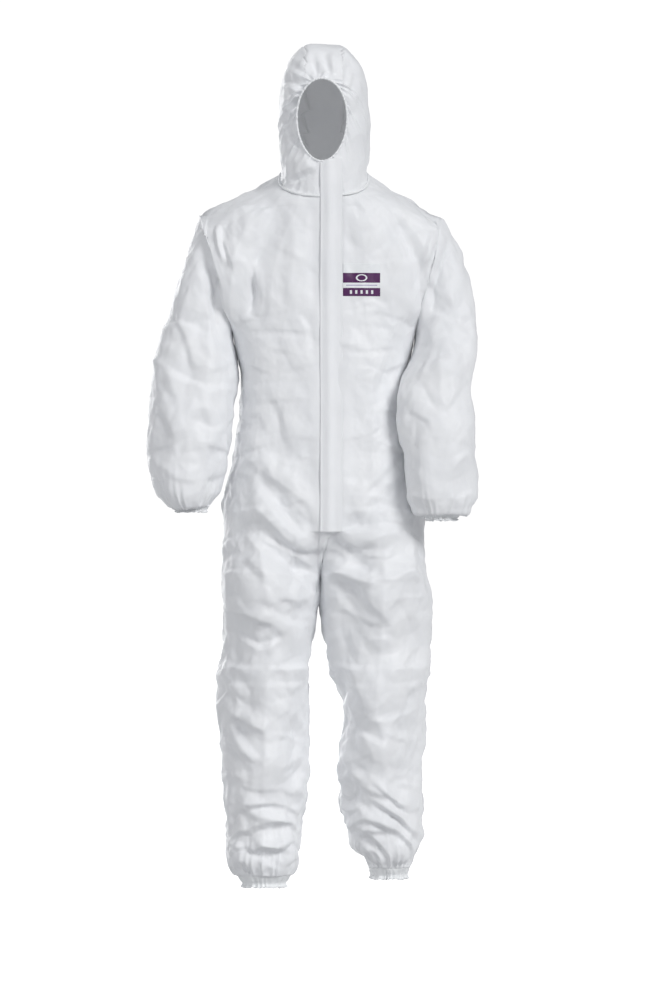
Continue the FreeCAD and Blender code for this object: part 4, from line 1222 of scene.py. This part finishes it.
def make_hood(materials):
    """Two side panels and the strip over the head, with their finest crumples."""
    points, faces = fold_hood(*hood_grid())
    panels = []
    for face in faces:
        x, y, z = points[list(face)].mean(0)
        over = abs(x) < STRIP_X and (z > FACE_Z + 20 or y > 0)
        panels.append(2 if over else (0 if x > ZIP_X or (x > 0 and (y > 0 or z > FACE_Z)) else 1))
    names = ["hood_panel_left", "hood_panel_right", "hood_centre_panel"]
    fine, fine_faces, numbers = refined(points, faces, panels)
    fine_normals = face_normals(fine, fine_faces)
    fine += fine_normals * (1.3 * facets(fine, 19, 24))[:, None]
    for name, piece in panel_pieces(fine, fine_faces, numbers, names, materials).items():
        settle(piece, "suit", "laminate_fabric", None, name)


def make_face_hem(materials):
    """The turned hem of the face opening, puckered by its elastic."""
    around = np.linspace(0, 2 * math.pi, 420, endpoint=False)
    x, z = face_ring(around, HEM_BEAD)
    place = np.stack([x, hood_front(x, z) - 0.6, z], -1)
    pucker = gathers(around, 46, 61.0)
    radius = 2.3 + 0.45 * pucker
    place[:, 1] -= 0.7 * pucker
    hem = rope("face_hem_cloth", place, np.tile((0.0, -1.0, 0.0), (len(place), 1)), radius, True, 12)
    settle(hem, "suit", "hem_fabric", materials["hem_fabric"], "face_hem", "face_elastic")


def make_neck_seam(materials):
    """The overlocked seam between hood and body."""
    turn = np.linspace(0.17, 2 * math.pi - 0.06, 300)
    line = neck_ring(turn)
    outwards = line - np.array([0, 6, 0])
    outwards[:, 2] = 0
    outwards /= np.linalg.norm(outwards, axis=1)[:, None]
    twist = gathers(turn, 90, 71.0)
    line = line + outwards * (0.8 + 0.3 * twist)[:, None]
    line[:, 2] += 1.2 + 1.4 * swell(line, 26, 73.0)
    seam = rope("neck_seam_overlock", line, outwards, 2.7 + 0.3 * twist, False, 10)
    settle(seam, "suit", "hem_fabric", materials["hem_fabric"], "neck_seam")


def make_size_label(materials):
    """A blank satin label that hangs inside the nape and curls a little."""
    label = np.stack([np.zeros(9), np.full(9, NECK_BACK - 5.0), np.linspace(20, 52, 9)], -1)
    label[:, 1] -= np.linspace(4, 0, 9) ** 2 * 0.4
    tag = ribbon("size_label_satin", label, np.tile((0.0, -1.0, 0.0), (9, 1)), 16.0, 0.0, 0.25)
    settle(tag, "suit", "size_label", materials["size_label"], "size_label")


def on_zip(across, out, up):
    """A place given in mm from the zipper's middle: across, outwards and up along it."""
    lean = math.atan(FRONT_LEAN)
    across, out, up = np.broadcast_arrays(np.asarray(across, float), out, up)
    y = up * math.sin(lean) - out * math.cos(lean)
    z = up * math.cos(lean) - out * math.sin(lean)
    return np.stack([across + ZIP_X, y - FRONT_DEPTH, z], -1)


ZIP_OUTWARDS = on_zip(0, 1, 0) - on_zip(0, 0, 0)
TOOTH_PITCH = 1.3
FLAP_FOOT, FLAP_TOP = -705.0, 57.0


def make_zipper(materials):
    """Each side's tape and its toothed coil."""
    height = np.linspace(-698, 53, 60)
    # One tooth is a bent bar, given as (across, out, up).
    bend = ((0.75, -0.9), (0.75, 0.35), (1.15, 0.7), (2.7, 0.7), (3.15, 0.3), (3.15, -0.9))
    bar = np.array([(across, out, up) for up in (-0.42, 0.42) for across, out in bend])
    corners = len(bend)
    for side, name in SIDES:
        tape = ribbon("zip_tape_" + name + "_woven", on_zip(side * 8.0, -1.85, height),
                      np.tile(ZIP_OUTWARDS, (len(height), 1)), 7.0, 0.0, 0.5)
        settle(tape, "suit", "zip_tape", materials["zip_tape"], "zip_tape_" + name)
        ups = np.arange(-689.0, 47.0, TOOTH_PITCH) + (TOOTH_PITCH / 2 if side > 0 else 0.0)
        teeth = [on_zip(side * bar[:, 0], bar[:, 1], bar[:, 2] + up) for up in ups]
        faces = []
        for base in range(0, len(bar) * len(teeth), len(bar)):
            low = [base + c for c in range(corners)]
            high = [base + corners + c for c in range(corners)]
            faces += [(low[c - 1], low[c], high[c], high[c - 1]) for c in range(corners)]
            faces += [tuple(reversed(low)), tuple(high)]
        coil = mesh_object("zip_coil_" + name + "_teeth", np.concatenate(teeth) * MM, faces, smooth=False)
        outward_faces(coil.data)
        settle(coil, "suit", "zip_coil", materials["zip_coil"], "zip_coil_" + name)


def flap_grid():
    """The flap's outer face: it arches over the slider, waves a little, and its top edge
    follows the lower edge of the face opening."""
    across = np.concatenate([np.linspace(-17.6, -8, 7), np.linspace(-5, 22, 10), np.linspace(24, 28, 4)])
    left, right = across[0], across[-1]
    offset = (across + ZIP_X - FACE_X) / (FACE_HALF_WIDTH + HEM_BEAD)
    brim = np.minimum(FACE_Z + 1 - (FACE_HALF_HEIGHT + HEM_BEAD) * np.sqrt(1 - offset ** 2), 60)
    grid = []
    for share in np.linspace(0, 1, 240):
        up = mix(FLAP_FOOT, brim, share)
        height = mix(FLAP_FOOT, FLAP_TOP, share)
        out = 1.3 + 4.6 * np.exp(-(across / 10.0) ** 2)
        wave = noise.noise((1.5, 2.5, height / 60)) * 1.4 + noise.noise((7.5, 1.5, height / 21)) * 0.5
        out = out + wave * ease((right - across) / 18) * 0.8
        ripple = np.array([noise.noise((a / 11, 3.5, height / 46)) for a in across])
        out = out + ripple * 0.9 * ease((right - across) / 10)
        stitches = 0.35 * np.exp(-((across - 24.2) / 1.2) ** 2)
        edge = 0.35 * np.exp(-((across - left - 1.2) / 1.3) ** 2)
        wander = 0.9 * noise.noise((4.5, 6.5, height / 75)) * ease((10 - across) / 20)
        grid.append(on_zip(across + wander, np.maximum(out, 1.1) - stitches + edge, up))
    return np.array(grid)


def make_flap(materials):
    """The double storm flap, with the adhesive strip and its liner on its inside."""
    grid = flap_grid()
    rows, columns = grid.shape[:2]
    points, faces = grid.reshape(-1, 3), grid_faces(rows, columns)
    flap = mesh_object("storm_flap_cloth", points * MM, faces)
    turn_forwards(flap, points, faces)
    thicken(flap, FLAP_CLOTH)
    settle(flap, "storm_flap", "laminate_fabric", materials["laminate_fabric"], "storm_flap")
    under = grid - ZIP_OUTWARDS * FLAP_CLOTH
    for node, gap, slot in (("flap_adhesive_strip", 0.1, "adhesive"),
                            ("adhesive_release_liner", 0.45, "release_liner")):
        line = under[3:-3, 3] - ZIP_OUTWARDS * gap
        strip = ribbon(node + "_strip", line, np.tile(-ZIP_OUTWARDS, (len(line), 1)), 4.5, 0.0, 0.25)
        settle(strip, "storm_flap", slot, materials[slot], node)


def drop_back(tree, x, z):
    """Depth of the suit's front at a place, all in metres."""
    return tree.ray_cast(Vector((x, -0.4, z)), Vector((0, 1, 0)))[0].y


def make_placket_tail(tree, materials):
    """The zipper's facing runs on below the flap, stitched down, and narrows to the crotch."""
    rows, columns = 44, 16
    points = []
    for r in range(rows):
        t = r / (rows - 1)
        z = mix(-697, CROTCH_Z + 4, t)
        left = mix(ZIP_X - 17.5, CROTCH_X - 7, t)
        right = mix(ZIP_X + 27.5, mix(ZIP_X - 11, CROTCH_X + 2, t), ease(t * 4.5))
        for c in range(columns):
            share = c / (columns - 1)
            x = mix(left, right, share)
            bead = math.exp(-(share * columns / 1.4) ** 2)
            proud = mix(2.0, 0.9, ease(t * 2.5)) + 0.8 * bead
            points.append((x * MM, drop_back(tree, x * MM, z * MM) - proud * MM, z * MM))
    faces = grid_faces(rows, columns)
    piece = mesh_object("placket_tail_cloth", points, faces)
    turn_forwards(piece, np.array(points), faces)
    thicken(piece, FLAP_CLOTH)
    settle(piece, "suit", "laminate_fabric", materials["laminate_fabric"])


def make_print(tree, materials):
    """The printed patch follows the folds of the chest."""
    low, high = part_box("chest_print")
    columns, rows = 48, 44
    points, uvs = [], []
    for r, z in enumerate(np.linspace(low[2], high[2], rows)):
        for c, x in enumerate(np.linspace(low[0] - 4 * MM, high[0] + 2 * MM, columns)):
            points.append((x, drop_back(tree, x, z) - 0.5 * MM, z))
            uvs.append((c / (columns - 1), r / (rows - 1)))
    patch = mesh_object("chest_print_patch", points, grid_faces(rows, columns))
    layer = patch.data.uv_layers.new(name="patch")
    corners = np.array([uvs[loop.vertex_index] for loop in patch.data.loops], np.float32)
    layer.data.foreach_set("uv", corners.ravel())
    thicken(patch, 0.25)
    settle(patch, "suit", "chest_print", materials["chest_print"], "chest_print")


def make_materials():
    white_low, white_high = (0.81, 0.822, 0.842), (0.865, 0.873, 0.887)
    return {
        "laminate_fabric": laminate("laminate_fabric", white_low, white_high),
        # The inside of the cloth: the same laminate with a faint painted glow.
        "laminate_inside_painted_glow": laminate("laminate_inside_painted_glow", white_low, white_high, 0.7, 0.05),
        "hem_fabric": laminate("hem_fabric", (0.82, 0.84, 0.85), (0.88, 0.89, 0.90), 0.55),
        "seam_binding": woven("seam_binding", (0.74, 0.76, 0.78), (0.82, 0.83, 0.85), 0.0009),
        "elastic": woven("elastic", (0.72, 0.73, 0.74), (0.82, 0.82, 0.82), 0.0012, 0.8),
        "zip_tape": woven("zip_tape", (0.72, 0.73, 0.75), (0.82, 0.83, 0.84), 0.0008),
        "zip_coil": plastic("zip_coil", (0.78, 0.79, 0.80), (0.85, 0.86, 0.87), 0.35),
        "zip_slider": plastic("zip_slider", (0.72, 0.73, 0.75), (0.80, 0.81, 0.82), 0.32),
        "size_label": woven("size_label", (0.80, 0.80, 0.81), (0.88, 0.88, 0.89), 0.0005, 0.45),
        "adhesive": plastic("adhesive", (0.70, 0.66, 0.52), (0.78, 0.74, 0.60), 0.25),
        "release_liner": plastic("release_liner", (0.70, 0.74, 0.78), (0.80, 0.84, 0.87), 0.28),
        "chest_print": printed("chest_print"),
    }


scene = bpy.context.scene
make_camera(scene)
make_floor()
make_light(scene)
materials = make_materials()
suit, marks = build_suit()
points = fold_suit(suit, marks, np.array(suit.points))
fine = make_body(suit, points, materials)
normals = face_normals(points, suit.quads)
make_seams(marks, points, normals, materials)
make_waist(marks, points, normals, materials)
make_hems(marks, points, materials)
make_hood(materials)
make_face_hem(materials)
make_neck_seam(materials)
make_size_label(materials)
make_zipper(materials)
make_flap(materials)
tree = BVHTree.FromPolygons([tuple(p) for p in fine * MM], [tuple(int(v) for v in f) for f in suit.quads])
make_print(tree, materials)
make_placket_tail(tree, materials)
for node in ("zip_slider", "zip_pull_tab", "zip_top_stops", "zip_bottom_stop"):
    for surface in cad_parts[node].material_slots:
        surface.material = materials["zip_slider"]
